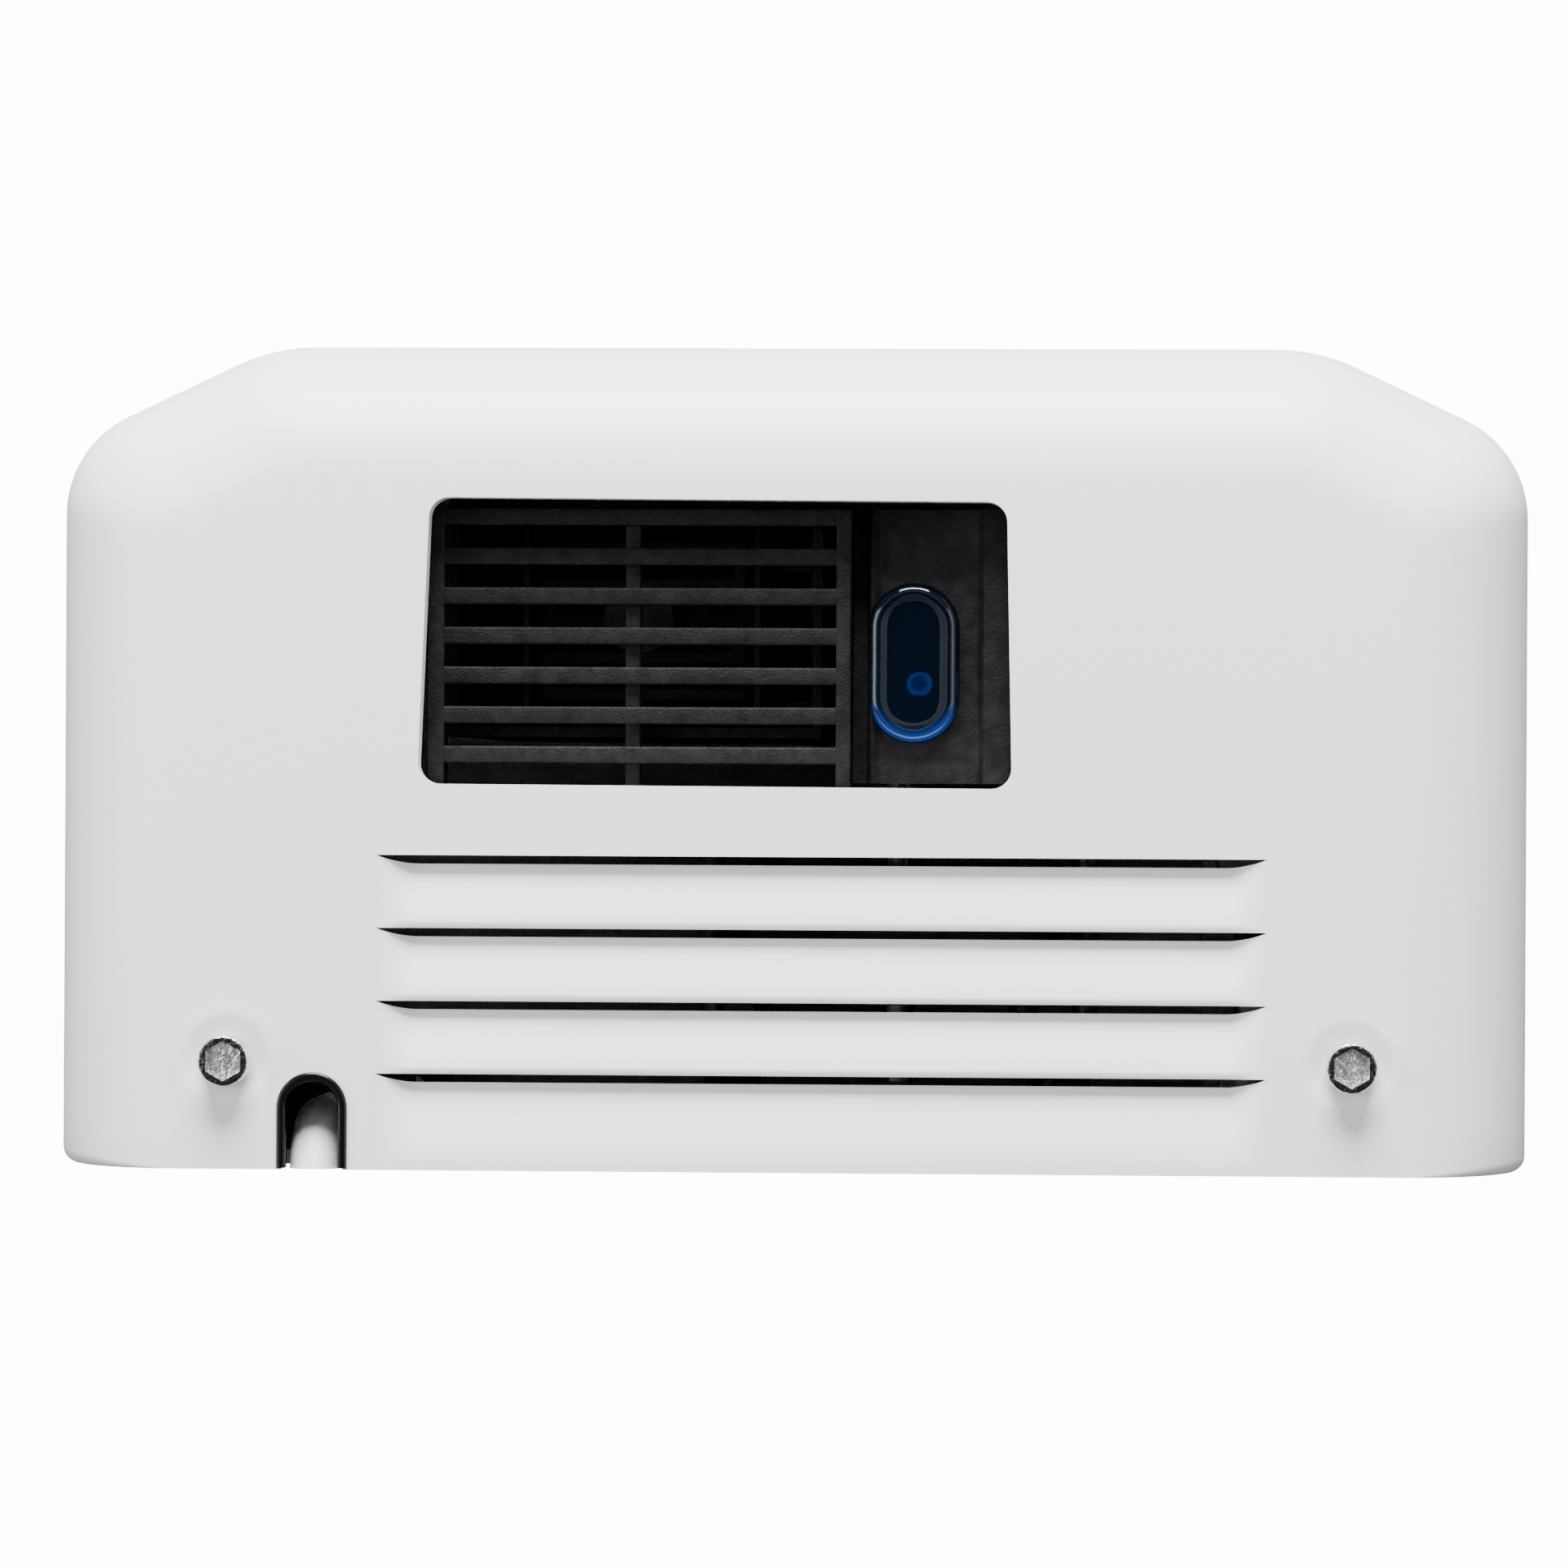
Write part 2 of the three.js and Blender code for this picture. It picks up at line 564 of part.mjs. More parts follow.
// The space of one winding in its slot, shrunk on its sides and longer than the laminations at both ends.
function windingBlock(side, shrink, overhang) {
  const x = BLOWER_X + side * WINDING_X;
  const halfWidth = WINDING_WIDTH / 2 - shrink;
  const halfHeight = WINDING_HEIGHT / 2 - shrink;
  return box(x - halfWidth, x + halfWidth, STATOR_FRONT - overhang, STATOR_BACK + overhang,
    BLOWER_Z - halfHeight, BLOWER_Z + halfHeight);
}

// ---- Outlet ----
function makeDuct() {
  const high = DUCT_TOP - GAP;
  const low = GRILLE_Z + GRILLE_HEIGHT + GAP;
  const outer = box(DUCT_LEFT, DUCT_RIGHT, SCROLL_FRONT, SCROLL_BACK, low, high);
  const inner = box(DUCT_LEFT + DUCT_WALL, DUCT_RIGHT - DUCT_WALL, SCROLL_FRONT + DUCT_WALL,
    SCROLL_BACK - DUCT_WALL, low - 1, high + 1);
  return cut(outer, inner);
}

// Slots run left to right in two columns, with a bar between each and one down the middle.
function makeGrille() {
  const front = WINDOW_FRONT + WINDOW_CLEARANCE;
  const back = front + GRILLE_SLOTS * GRILLE_PITCH + GRILLE_BAR;
  const top = GRILLE_Z + GRILLE_HEIGHT;
  const body = box(GRILLE_LEFT, GRILLE_RIGHT, front, back, GRILLE_Z, top);
  const columns = [
    [GRILLE_LEFT + GRILLE_END_LEFT, GRILLE_MIDDLE_X - GRILLE_MIDDLE_WIDTH / 2],
    [GRILLE_MIDDLE_X + GRILLE_MIDDLE_WIDTH / 2, GRILLE_RIGHT - GRILLE_END_RIGHT],
  ];
  const tools = [];
  for (let i = 0; i < GRILLE_SLOTS; i += 1) {
    const y0 = front + GRILLE_BAR + i * GRILLE_PITCH;
    const y1 = y0 + GRILLE_PITCH - GRILLE_BAR;
    for (const [left, right] of columns) {
      tools.push(box(left, right, y0, y1, GRILLE_Z - CUT, top + CUT));
    }
  }
  return cut(body, ...tools);
}

function makeHeaterCard(x) {
  const half = CARD_THICKNESS / 2;
  const front = SCROLL_FRONT + DUCT_WALL + 1;
  const back = SCROLL_BACK - DUCT_WALL - 1;
  return box(x - half, x + half, front, back, GRILLE_Z + COIL_LEVEL - 8, DUCT_TOP - 12);
}

// One flat zigzag heating element between two cards.
function makeHeaterCoil(z) {
  const left = DUCT_LEFT + DUCT_WALL + COIL_INSET;
  const right = DUCT_RIGHT - DUCT_WALL - COIL_INSET;
  const half = COIL_WIRE / 2;
  const front = SCROLL_FRONT + 9;
  const step = (SCROLL_LENGTH - 18) / (COIL_ROWS - 1);
  const parts = [];
  for (let i = 0; i < COIL_ROWS; i += 1) {
    const y = front + i * step;
    parts.push(box(left, right, y - half, y + half, z - half, z + half));
    if (i < COIL_ROWS - 1) {
      const x = i % 2 === 0 ? right - COIL_WIRE : left;
      parts.push(box(x, x + COIL_WIRE, y - half / 2, y + step + half / 2, z - half, z + half));
    }
  }
  return join(...parts);
}

// ---- Sensor ----
const SENSOR_LEFT = GRILLE_RIGHT + GAP;
const SENSOR_FRONT = WINDOW_FRONT + WINDOW_CLEARANCE;
const SENSOR_BACK = WINDOW_BACK - 0.5;
const SENSOR_BOARD_Z = GRILLE_Z + SENSOR_BOARD_LEVEL;

function stadium(width, length, x, y) {
  return roundedRectangle(x - width / 2, x + width / 2, y - length / 2, y + length / 2, width / 2 - 0.01);
}

function makeSensorHousing() {
  const top = GRILLE_Z + SENSOR_HEIGHT;
  const outer = box(SENSOR_LEFT, SENSOR_RIGHT, SENSOR_FRONT, SENSOR_BACK, GRILLE_Z, top);
  const hollow = box(SENSOR_LEFT + SENSOR_WALL, SENSOR_RIGHT - SENSOR_WALL,
    SENSOR_FRONT + SENSOR_WALL, SENSOR_BACK - SENSOR_WALL, GRILLE_Z + SENSOR_WALL, top + CUT);
  const hole = plateZ(stadium(LENS_WIDTH + GAP * 2, LENS_LENGTH + GAP * 2, LENS_X, LENS_Y),
    GRILLE_Z - 1, GRILLE_Z + SENSOR_WALL + 1, 10);
  return cut(outer, hollow, hole);
}

function makeLens() {
  const low = GRILLE_Z - LENS_PROUD;
  const outer = plateZ(stadium(LENS_WIDTH, LENS_LENGTH, LENS_X, LENS_Y), low, low + LENS_HEIGHT, 10);
  const inner = plateZ(stadium(LENS_WIDTH - 2 * LENS_WALL, LENS_LENGTH - 2 * LENS_WALL, LENS_X, LENS_Y),
    low + LENS_WALL, low + LENS_HEIGHT + 1, 10);
  return cut(outer, inner);
}

// ---- Electrics ----
const BOARD_X1 = HALF_WIDTH - BOARD_FROM_SIDE;
const BOARD_X0 = BOARD_X1 - BOARD_WIDTH;
const ON_BOARD = BOARD_Y - GAP;
const CAPACITOR_X = HALF_WIDTH - CAPACITOR_FROM_SIDE;
const TRIMMER_X = BOARD_X0 + 30;
const TRIMMER_Z = BOARD_Z0 + 34;
const CABLE_Y = -PLATE_THICKNESS - CABLE_R - CABLE_CLEARANCE;
const CABLE_BEND_Z = BOTTOM + CABLE_BEND_TOP;
const CABLE_TOP = CABLE_BEND_Z + CABLE_STRAIGHT;

// The supply cable hangs straight from its terminals, then bends back until its whole end is behind the wall.
function makeCable() {
  const endAngle = Math.acos((CABLE_BEND + CABLE_Y) / (CABLE_BEND + CABLE_R));
  const steps = 6;
  const points = [];
  for (let i = 0; i < steps; i += 1) {
    points.push(new THREE.Vector3(NOTCH_X, CABLE_Y, CABLE_TOP - CABLE_STRAIGHT * i / (steps - 1)));
  }
  for (let i = 1; i <= steps; i += 1) {
    const angle = endAngle * i / steps;
    const y = CABLE_Y + CABLE_BEND * (1 - Math.cos(angle));
    points.push(new THREE.Vector3(NOTCH_X, y, CABLE_BEND_Z - CABLE_BEND * Math.sin(angle)));
  }
  const section = new THREE.Shape();
  section.absarc(0, 0, CABLE_R, 0, Math.PI * 2, false);
  const curve = new THREE.CatmullRomCurve3(points);
  const tube = new THREE.ExtrudeGeometry(section, { steps: 30, curveSegments: 6, extrudePath: curve });
  const reach = 2 * CABLE_R;
  const room = box(NOTCH_X - reach, NOTCH_X + reach, CABLE_Y - reach, 0, BOTTOM - CUT, CABLE_TOP + CUT);
  return keep(tube, room);
}

function makeTerminalBlock() {
  const low = CABLE_TOP + 8;
  const high = low + 20;
  const front = -24;
  const body = box(NOTCH_X - 17, NOTCH_X + 17, front, -PLATE_THICKNESS - GAP, low, high);
  const tools = [];
  for (let i = -1; i <= 1; i += 1) {
    const x = NOTCH_X + i * 10.5;
    tools.push(barY(3, x, (low + high) / 2, front - CUT, front + 6, 12));
    tools.push(barZ(2.2, x, front / 2, low - CUT, high + CUT, 12));
  }
  return cut(body, ...tools);
}

function makeCableClamp() {
  const z = CABLE_BEND_Z + 24;
  const half = CABLE_R + 11;
  const saddle = box(NOTCH_X - half, NOTCH_X + half, CABLE_Y - CABLE_R - 3, CABLE_Y - 1, z - 6, z + 6);
  return cut(saddle, barZ(CABLE_R + GAP, NOTCH_X, CABLE_Y, z - 6 - CUT, z + 6 + CUT));
}

function makeCapacitorClip() {
  const half = CAPACITOR_R + 3;
  const rear = -PLATE_THICKNESS - GAP;
  const low = CAPACITOR_Z0 + 20;
  const high = low + 12;
  return cut(
    box(CAPACITOR_X - half, CAPACITOR_X + half, CAPACITOR_Y + 2, rear, low, high),
    barZ(CAPACITOR_R + GAP, CAPACITOR_X, CAPACITOR_Y, low - CUT, high + CUT, 28),
    box(CAPACITOR_X - half + 4, CAPACITOR_X + half - 4, CAPACITOR_Y + 20, rear - 1.7, low - CUT, high + CUT));
}

function makeTrimmerBase() {
  const half = TRIMMER_SIZE / 2;
  const front = ON_BOARD - TRIMMER_HEIGHT;
  return cut(
    box(TRIMMER_X - half, TRIMMER_X + half, front, ON_BOARD, TRIMMER_Z - half, TRIMMER_Z + half),
    barY(KNOB_R + KNOB_CLEARANCE, TRIMMER_X, TRIMMER_Z, front - CUT, ON_BOARD - 2));
}

function makeTrimmerKnob() {
  const front = ON_BOARD - TRIMMER_HEIGHT - 3;
  const half = KNOB_SLOT / 2;
  return cut(
    barY(KNOB_R, TRIMMER_X, TRIMMER_Z, front, ON_BOARD - 2 - GAP),
    box(TRIMMER_X - half, TRIMMER_X + half, front - CUT, front + 1, TRIMMER_Z - CUT, TRIMMER_Z + CUT));
}

// ---- Assembly ----
const dryer = new THREE.Group();

function finish(color, roughness, metalness, extra = {}) {
  return { color, roughness, metalness, ...extra };
}

const WHITE_POWDER_COAT = finish(0xe9e9e8, 0.42, 0.0);
const BLACK_PLASTIC = finish(0x1b1b1c, 0.6, 0.0);
const BLACK_RUBBER = finish(0x0f0f10, 0.45, 0.0);
const BLUE_LENS = finish(0x0a4f9c, 0.12, 0.0);
const BRIGHT_STEEL = finish(0xc8c9cb, 0.25, 1.0);
const GALVANISED = finish(0xa9adb0, 0.45, 1.0);
const LAMINATION = finish(0x6d7075, 0.5, 0.9);
const COPPER = finish(0xa8582c, 0.35, 1.0);
const BOARD_GREEN = finish(0x1d5c38, 0.5, 0.0);
const MICA = finish(0xb9a98c, 0.7, 0.0);
const GREY_PVC = finish(0xdcdcdd, 0.55, 0.0);
const CREAM_NYLON = finish(0xd9d4c4, 0.5, 0.0);
const ALUMINIUM = finish(0xb4b8bb, 0.4, 1.0);
const CLEAR_EPOXY = finish(0x2fa8d8, 0.1, 0.0);

function place(name, geometry, look) {
  const mesh = new THREE.Mesh(geometry, new THREE.MeshStandardMaterial(look));
  mesh.name = name;
  dryer.add(mesh);
}

place('cover_shell', makeCover(), WHITE_POWDER_COAT);
place('cable_notch_edging', makeEdging(), BLACK_RUBBER);
for (const [word, side] of [['left', -1], ['right', 1]]) {
  place(`cover_screw_${word}`, makeScrew(side * SCREW_X), BRIGHT_STEEL);
  place(`cover_nut_${word}`, makeNut(side * SCREW_X), GALVANISED);
}
place('base_plate', makeBasePlate(), GALVANISED);

place('scroll_body', makeScrollBody(), BLACK_PLASTIC);
place('scroll_back', makeScrollBack(), BLACK_PLASTIC);
place('impeller', makeImpeller(), ALUMINIUM);
const NUT_BACK = IMPELLER_FRONT - GAP;
const NUT_FACE = NUT_BACK - NUT_FRONT_LENGTH;
place('impeller_nut', cut(
  barY(NUT_FRONT_R, BLOWER_X, BLOWER_Z, NUT_FACE, NUT_BACK, 6),
  barY(SHAFT_R + GAP, BLOWER_X, BLOWER_Z, NUT_FACE - CUT, NUT_BACK + CUT)), GALVANISED);
place('motor_shaft',
  barY(SHAFT_R, BLOWER_X, BLOWER_Z, IMPELLER_FRONT - 6, BEARING_REAR_Y + 6, 32), BRIGHT_STEEL);
place('rotor_core', cut(
  barY(ROTOR_R, BLOWER_X, BLOWER_Z, STATOR_FRONT, STATOR_BACK, 36),
  barY(SHAFT_R + GAP, BLOWER_X, BLOWER_Z, STATOR_FRONT - CUT, STATOR_BACK + CUT)), LAMINATION);
place('motor_stator', makeStator(), LAMINATION);
place('stator_winding_left', windingBlock(-1, 2 * GAP, WINDING_OVERHANG), COPPER);
place('stator_winding_right', windingBlock(1, 2 * GAP, WINDING_OVERHANG), COPPER);
place('bearing_rear', makeBearing(BEARING_REAR_Y), BRIGHT_STEEL);
place('bearing_front', makeBearing(BEARING_FRONT_Y), BRIGHT_STEEL);
place('motor_bracket_rear', makeBracket(BEARING_REAR_Y), ALUMINIUM);
place('motor_bracket_front', makeBracket(BEARING_FRONT_Y), ALUMINIUM);
for (const [word, side] of [['left', -1], ['right', 1]]) {
  const x = BLOWER_X + side * (STATOR_SIZE / 2 - 1);
  const seat = MOTOR_BACK - BRACKET_THICKNESS / 2 + GAP;
  place(`rubber_mount_${word}`,
    barY(MOUNT_R, x, BLOWER_Z, seat, -PLATE_THICKNESS - GAP), BLACK_RUBBER);
  const postX = BLOWER_X + side * (STATOR_SIZE / 2 + BRACKET_OVERHANG - BRACKET_PILLAR_R - 0.5);
  const inset = BRACKET_THICKNESS / 2 + GAP;
  place(`bracket_pillar_${word}`,
    barY(BRACKET_PILLAR_R, postX, BLOWER_Z, BEARING_FRONT_Y + inset, BEARING_REAR_Y - inset, 16), GALVANISED);
}

place('outlet_duct', makeDuct(), BLACK_PLASTIC);
place('outlet_grille', makeGrille(), BLACK_PLASTIC);
place('heater_card_left', makeHeaterCard(DUCT_LEFT + DUCT_WALL + CARD_INSET), MICA);
place('heater_card_right', makeHeaterCard(DUCT_RIGHT - DUCT_WALL - CARD_INSET), MICA);
for (let i = 0; i < 3; i += 1) {
  place(`heater_coil_${i + 1}`, makeHeaterCoil(GRILLE_Z + COIL_LEVEL + i * COIL_PITCH), GALVANISED);
}
const CUTOUT_Z = GRILLE_Z + GRILLE_HEIGHT + 11;
place('thermal_cutout', barZ(CUTOUT_R, (DUCT_LEFT + DUCT_RIGHT) / 2, (SCROLL_FRONT + SCROLL_BACK) / 2,
  CUTOUT_Z, CUTOUT_Z + CUTOUT_HEIGHT), CREAM_NYLON);

place('sensor_housing', makeSensorHousing(), BLACK_PLASTIC);
place('sensor_lens', makeLens(), BLUE_LENS);
const SENSOR_BOARD_HALF_X = SENSOR_BOARD_WIDTH / 2;
const SENSOR_BOARD_HALF_Y = SENSOR_BOARD_LENGTH / 2;
place('sensor_board', box(
  LENS_X - SENSOR_BOARD_HALF_X, LENS_X + SENSOR_BOARD_HALF_X,
  LENS_Y - SENSOR_BOARD_HALF_Y, LENS_Y + SENSOR_BOARD_HALF_Y,
  SENSOR_BOARD_Z, SENSOR_BOARD_Z + BOARD_THICKNESS), BOARD_GREEN);
place('ir_emitter', barZ(LED_R, LENS_X + 1, LENS_Y + 4, GRILLE_Z + 2, SENSOR_BOARD_Z - GAP), CLEAR_EPOXY);
const RECEIVER_X = LENS_X - 4;
const RECEIVER_Y = LENS_Y - 9;
place('ir_receiver', box(RECEIVER_X, RECEIVER_X + RECEIVER_SIZE, RECEIVER_Y, RECEIVER_Y + RECEIVER_SIZE,
  GRILLE_Z + 4.6, SENSOR_BOARD_Z - GAP), BLACK_PLASTIC);

place('control_board',
  box(BOARD_X0, BOARD_X1, BOARD_Y, BOARD_Y + BOARD_THICKNESS, BOARD_Z0, BOARD_Z1), BOARD_GREEN);
let pillar = 0;
for (const x of [BOARD_X0 + PILLAR_INSET, BOARD_X1 - PILLAR_INSET]) {
  for (const z of [BOARD_Z0 + PILLAR_INSET, BOARD_Z1 - PILLAR_INSET]) {
    pillar += 1;
    place(`board_pillar_${pillar}`,
      barY(PILLAR_R, x, z, BOARD_Y + BOARD_THICKNESS + GAP, -PLATE_THICKNESS - GAP, 12), CREAM_NYLON);
  }
}
place('transformer', box(BOARD_X0 + 4, BOARD_X0 + 36, ON_BOARD - 26, ON_BOARD, BOARD_Z0 + 50, BOARD_Z0 + 80),
  LAMINATION);
place('relay', box(BOARD_X0 + 4, BOARD_X0 + 20, ON_BOARD - 20, ON_BOARD, BOARD_Z0 + 14, BOARD_Z0 + 42),
  CREAM_NYLON);
place('range_trimmer_base', makeTrimmerBase(), CREAM_NYLON);
place('range_trimmer_knob', makeTrimmerKnob(), BLACK_PLASTIC);
place('run_capacitor',
  barZ(CAPACITOR_R, CAPACITOR_X, CAPACITOR_Y, CAPACITOR_Z0, CAPACITOR_Z1, 28), ALUMINIUM);
place('capacitor_clip', makeCapacitorClip(), GALVANISED);

place('supply_cable', makeCable(), GREY_PVC);
place('terminal_block', makeTerminalBlock(), CREAM_NYLON);
place('cable_clamp', makeCableClamp(), CREAM_NYLON);
place('earth_screw', barY(4, NOTCH_X - 26, -20, -8, -PLATE_THICKNESS - GAP, 6), BRIGHT_STEEL);

export default dryer;
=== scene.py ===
import json

import bmesh
import bpy
import numpy as np
from mathutils import Matrix, Vector
from mathutils.geometry import delaunay_2d_cdt


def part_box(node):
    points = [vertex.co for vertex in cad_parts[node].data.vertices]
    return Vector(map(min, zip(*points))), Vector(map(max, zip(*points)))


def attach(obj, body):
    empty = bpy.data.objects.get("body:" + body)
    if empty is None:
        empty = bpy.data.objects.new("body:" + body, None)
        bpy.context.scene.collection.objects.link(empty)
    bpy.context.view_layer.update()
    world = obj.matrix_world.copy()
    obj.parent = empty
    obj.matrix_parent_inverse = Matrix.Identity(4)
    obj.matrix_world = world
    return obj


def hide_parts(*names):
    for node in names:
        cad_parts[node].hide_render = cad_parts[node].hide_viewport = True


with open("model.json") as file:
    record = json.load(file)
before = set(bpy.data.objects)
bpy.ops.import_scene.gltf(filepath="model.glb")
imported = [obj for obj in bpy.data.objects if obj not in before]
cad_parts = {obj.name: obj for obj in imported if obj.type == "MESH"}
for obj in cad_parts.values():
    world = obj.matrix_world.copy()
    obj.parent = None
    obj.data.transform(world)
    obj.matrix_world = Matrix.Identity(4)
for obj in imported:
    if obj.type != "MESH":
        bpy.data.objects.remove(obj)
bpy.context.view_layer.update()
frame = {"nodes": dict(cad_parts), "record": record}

bl_info = {
    "name": "Wall Hand Dryer",
    "version": (1, 0, 0),
    "blender": (4, 5, 0),
    "location": "View3D > Sidebar > Hand Dryer",
    "description": "Builds the looks of a wall-mounted hand dryer round its frame",
    "category": "Object",
}

MM = 0.001
WAVE_PERIOD = 0.314  # metres from band to band of the wave texture at scale 1
BAND_SPACING = 6.283 * MM
SLIVER = 5e-10  # square metres: triangles under this lie along a straight edge and are dropped
COVER_LOW, COVER_HIGH = (np.array(corner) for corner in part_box("cover_shell"))
BOTTOM = float(COVER_LOW[2])
TOP = float(COVER_HIGH[2])
GRILLE_LOW, GRILLE_HIGH = (np.array(corner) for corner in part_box("outlet_grille"))
LENS_LOW, LENS_HIGH = (np.array(corner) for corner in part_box("sensor_lens"))
HOUSING_LOW, HOUSING_HIGH = (np.array(corner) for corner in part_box("sensor_housing"))
EDGING_LOW, EDGING_HIGH = (np.array(corner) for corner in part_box("cable_notch_edging"))
CABLE_LOW, CABLE_HIGH = (np.array(corner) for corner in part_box("supply_cable"))
NOTCH_X = float(EDGING_LOW[0] + EDGING_HIGH[0]) / 2
SCREW_Y = -float(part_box("cover_screw_left")[0][1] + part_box("cover_screw_left")[1][1]) / 2
GRILLE_BARS = 8
GRILLE_BAR = 3.4 * MM
GRILLE_PITCH = 7.9 * MM
GRILLE_MIDDLE = -31.5 * MM  # the grille's upright
CABLE_RADIUS = 5 * MM
CABLE_BEND = 14 * MM  # radius of the cable's bend to the wall
CABLE_BEND_TOP = 19 * MM  # start of the bend above the underside
WINDOW_CORNERS = [(-71.2 * MM, -133.2 * MM), (42.9 * MM, -132.6 * MM), (44.1 * MM, -76.0 * MM),
                  (-73.5 * MM, -76.5 * MM)]
FLOOR_Z, FLAG_Z = -2.2, -1.6  # the pale floor, and a black card that keeps it out of reflections
SKY_LIGHT, SKY_SEEN = 0.16, 14.0  # the background's strength as a light and as it is seen
SOFT_BOX_SIDE = 1.2
SOFT_BOXES = [("front_soft_box", (0.0, -1.8, -0.8), 190), ("left_soft_box", (-1.5, -0.3, -1.2), 26),
              ("right_soft_box", (1.5, -0.3, -1.2), 13)]
CAMERA_LENS = 151.4
CAMERA_PLACE = (0.052, -0.0768, BOTTOM - 1.3)
CAMERA_AIM = (-0.0008, -0.0768, BOTTOM)
CAMERA_ROLL = 0.3


# ---- sizes and colours
def length(name, description, millimetres):
    """A size property in metres, written here in millimetres."""
    return bpy.props.FloatProperty(
        name=name, description=description, default=millimetres * MM, unit="LENGTH", precision=4
    )


def paint(name, description, code):
    """A colour property from an sRGB hex code."""
    return bpy.props.FloatVectorProperty(
        name=name, description=description, default=linear(code), size=3, subtype="COLOR", min=0, max=1
    )


def linear(code):
    """Turns an sRGB hex colour into linear light: a straight line low down, a power of 2.4 above."""
    channels = [int(code[i:i + 2], 16) / 255 for i in (1, 3, 5)]
    return tuple(c / 12.92 if c <= 0.04045 else ((c + 0.055) / 1.055) ** 2.4 for c in channels)


class DryerCoverSizes(bpy.types.PropertyGroup):
    """Sizes of the pressed cover that the frame's box doesn't give."""
    sheet: length("Sheet", "Thickness of the cover's steel", 1.6)
    lean: length("Front lean", "How much further out the front stands at the top", 14)
    fillet: length("Edge fillet", "Radius round the underside and the top", 26)
    chamfer_side: length("Chamfer side", "Sideways size of the slanted corner", 42)
    chamfer_depth: length("Chamfer depth", "Depth of the slanted corner", 20)
    front_radius: length("Front corner", "Radius between the front and the slanted corner", 38)
    side_radius: length("Side corner", "Radius between the slanted corner and the side", 22)
    rear_curl: length("Rear curl", "Radius that turns the side's rear edge in", 3.2)
    louvre_left: length("Louvre left end", "Left end of the slits", -81.5)
    louvre_right: length("Louvre right end", "Right end of the slits", 94.5)
    louvre_nearest: length("First slit", "Front lip of the slit nearest the wall", -19.1)
    louvre_pitch: length("Slit pitch", "Distance from slit to slit", 14.43)
    louvre_gap: length("Slit gap", "Width of a slit's opening seen from below", 1.7)
    louvre_depth: length("Louvre depth", "How far the strip behind a slit is pressed in", 3.6)
    louvre_roll: length("Louvre roll", "How far a strip's rear edge is rolled in", 0.45)
    louvre_taper: length("Louvre taper", "Length over which a slit closes at its ends", 8)
    screw_x: length("Screw place", "Screws left and right of the middle", 111)
    screw_y: length("Screw from wall", "Screws' distance from the wall", 21.6)
    dimple: length("Dimple depth", "Depth of the pressing round each screw", 1.1)
    notch_half: length("Notch half width", "Half the width of the cable notch", 6.1)
    notch_depth: length("Notch depth", "Depth of the cable notch from the wall", 18.4)


class DryerColours(bpy.types.PropertyGroup):
    """Colours of the finishes."""
    powder_coat: paint("Powder coat", "White powder coat of the cover", "#EDEDEC")
    black_plastic: paint("Black plastic", "Grille, sensor block and blower", "#151516")
    rubber: paint("Rubber", "Edging and mounts", "#070708")
    lens: paint("Lens", "Blue sensor lens", "#03233F")
    lamp: paint("Lamp", "Lit sensor lamp", "#35B4F0")
    cable: paint("Cable", "Supply cable jacket", "#E2E2E4")
    steel: paint("Steel", "Bright screws and shaft", "#CDCED0")
    zinc: paint("Zinc", "Galvanised sheet", "#A9AEB2")
    copper: paint("Copper", "Enamelled winding wire", "#5E3019")
    board: paint("Board", "Solder mask of the boards", "#17552F")
    nylon: paint("Nylon", "Cream mouldings", "#D6D0BD")
    mica: paint("Mica", "Heater cards", "#1A1613")
    aluminium: paint("Aluminium", "Impeller, brackets and can", "#B7BBBE")


# ---- mesh helpers
def make_object(name, points, faces, smooth=40):
    """Puts an array of points and a list or array of faces into a mesh object at the origin."""
    mesh = bpy.data.meshes.new(name)
    mesh.from_pydata(np.asarray(points, float).tolist(), [], np.asarray(faces).tolist()
                     if isinstance(faces, np.ndarray) else faces)
    obj = bpy.data.objects.new(name, mesh)
    bpy.context.scene.collection.objects.link(obj)
    tidy(obj)
    shade(obj, smooth)
    return obj


def tidy(obj, distance=2e-6):
    """Merges doubles, drops faces of no area and turns every face outward."""
    bm = bmesh.new()
    bm.from_mesh(obj.data)
    bmesh.ops.remove_doubles(bm, verts=bm.verts, dist=distance)
    bmesh.ops.dissolve_degenerate(bm, dist=distance / 2, edges=bm.edges)
    bmesh.ops.recalc_face_normals(bm, faces=bm.faces)
    bm.to_mesh(obj.data)
    bm.free()


def vertex_places(obj):
    """The places of an object's vertices as an array."""
    flat = np.empty(len(obj.data.vertices) * 3)
    obj.data.vertices.foreach_get("co", flat)
    return flat.reshape(-1, 3)


def paint_points(obj, name, values):
    """Stores one number for each vertex, for a material to read."""
    layer = obj.data.attributes.new(name, "FLOAT", "POINT")
    layer.data.foreach_set("value", np.asarray(values, np.float32))


def shade(obj, angle):
    """Smooth shading, with edges sharper than angle in degrees kept sharp."""
    obj.data.shade_smooth()
    obj.data.set_sharp_from_angle(angle=np.radians(angle))


def settle(obj):
    """Applies every modifier, so that the finished shape is in the mesh."""
    graph = bpy.context.evaluated_depsgraph_get()
    made = bpy.data.meshes.new_from_object(obj.evaluated_get(graph))
    old = obj.data
    obj.modifiers.clear()
    obj.data = made
    made.name = obj.name
    bpy.data.meshes.remove(old)


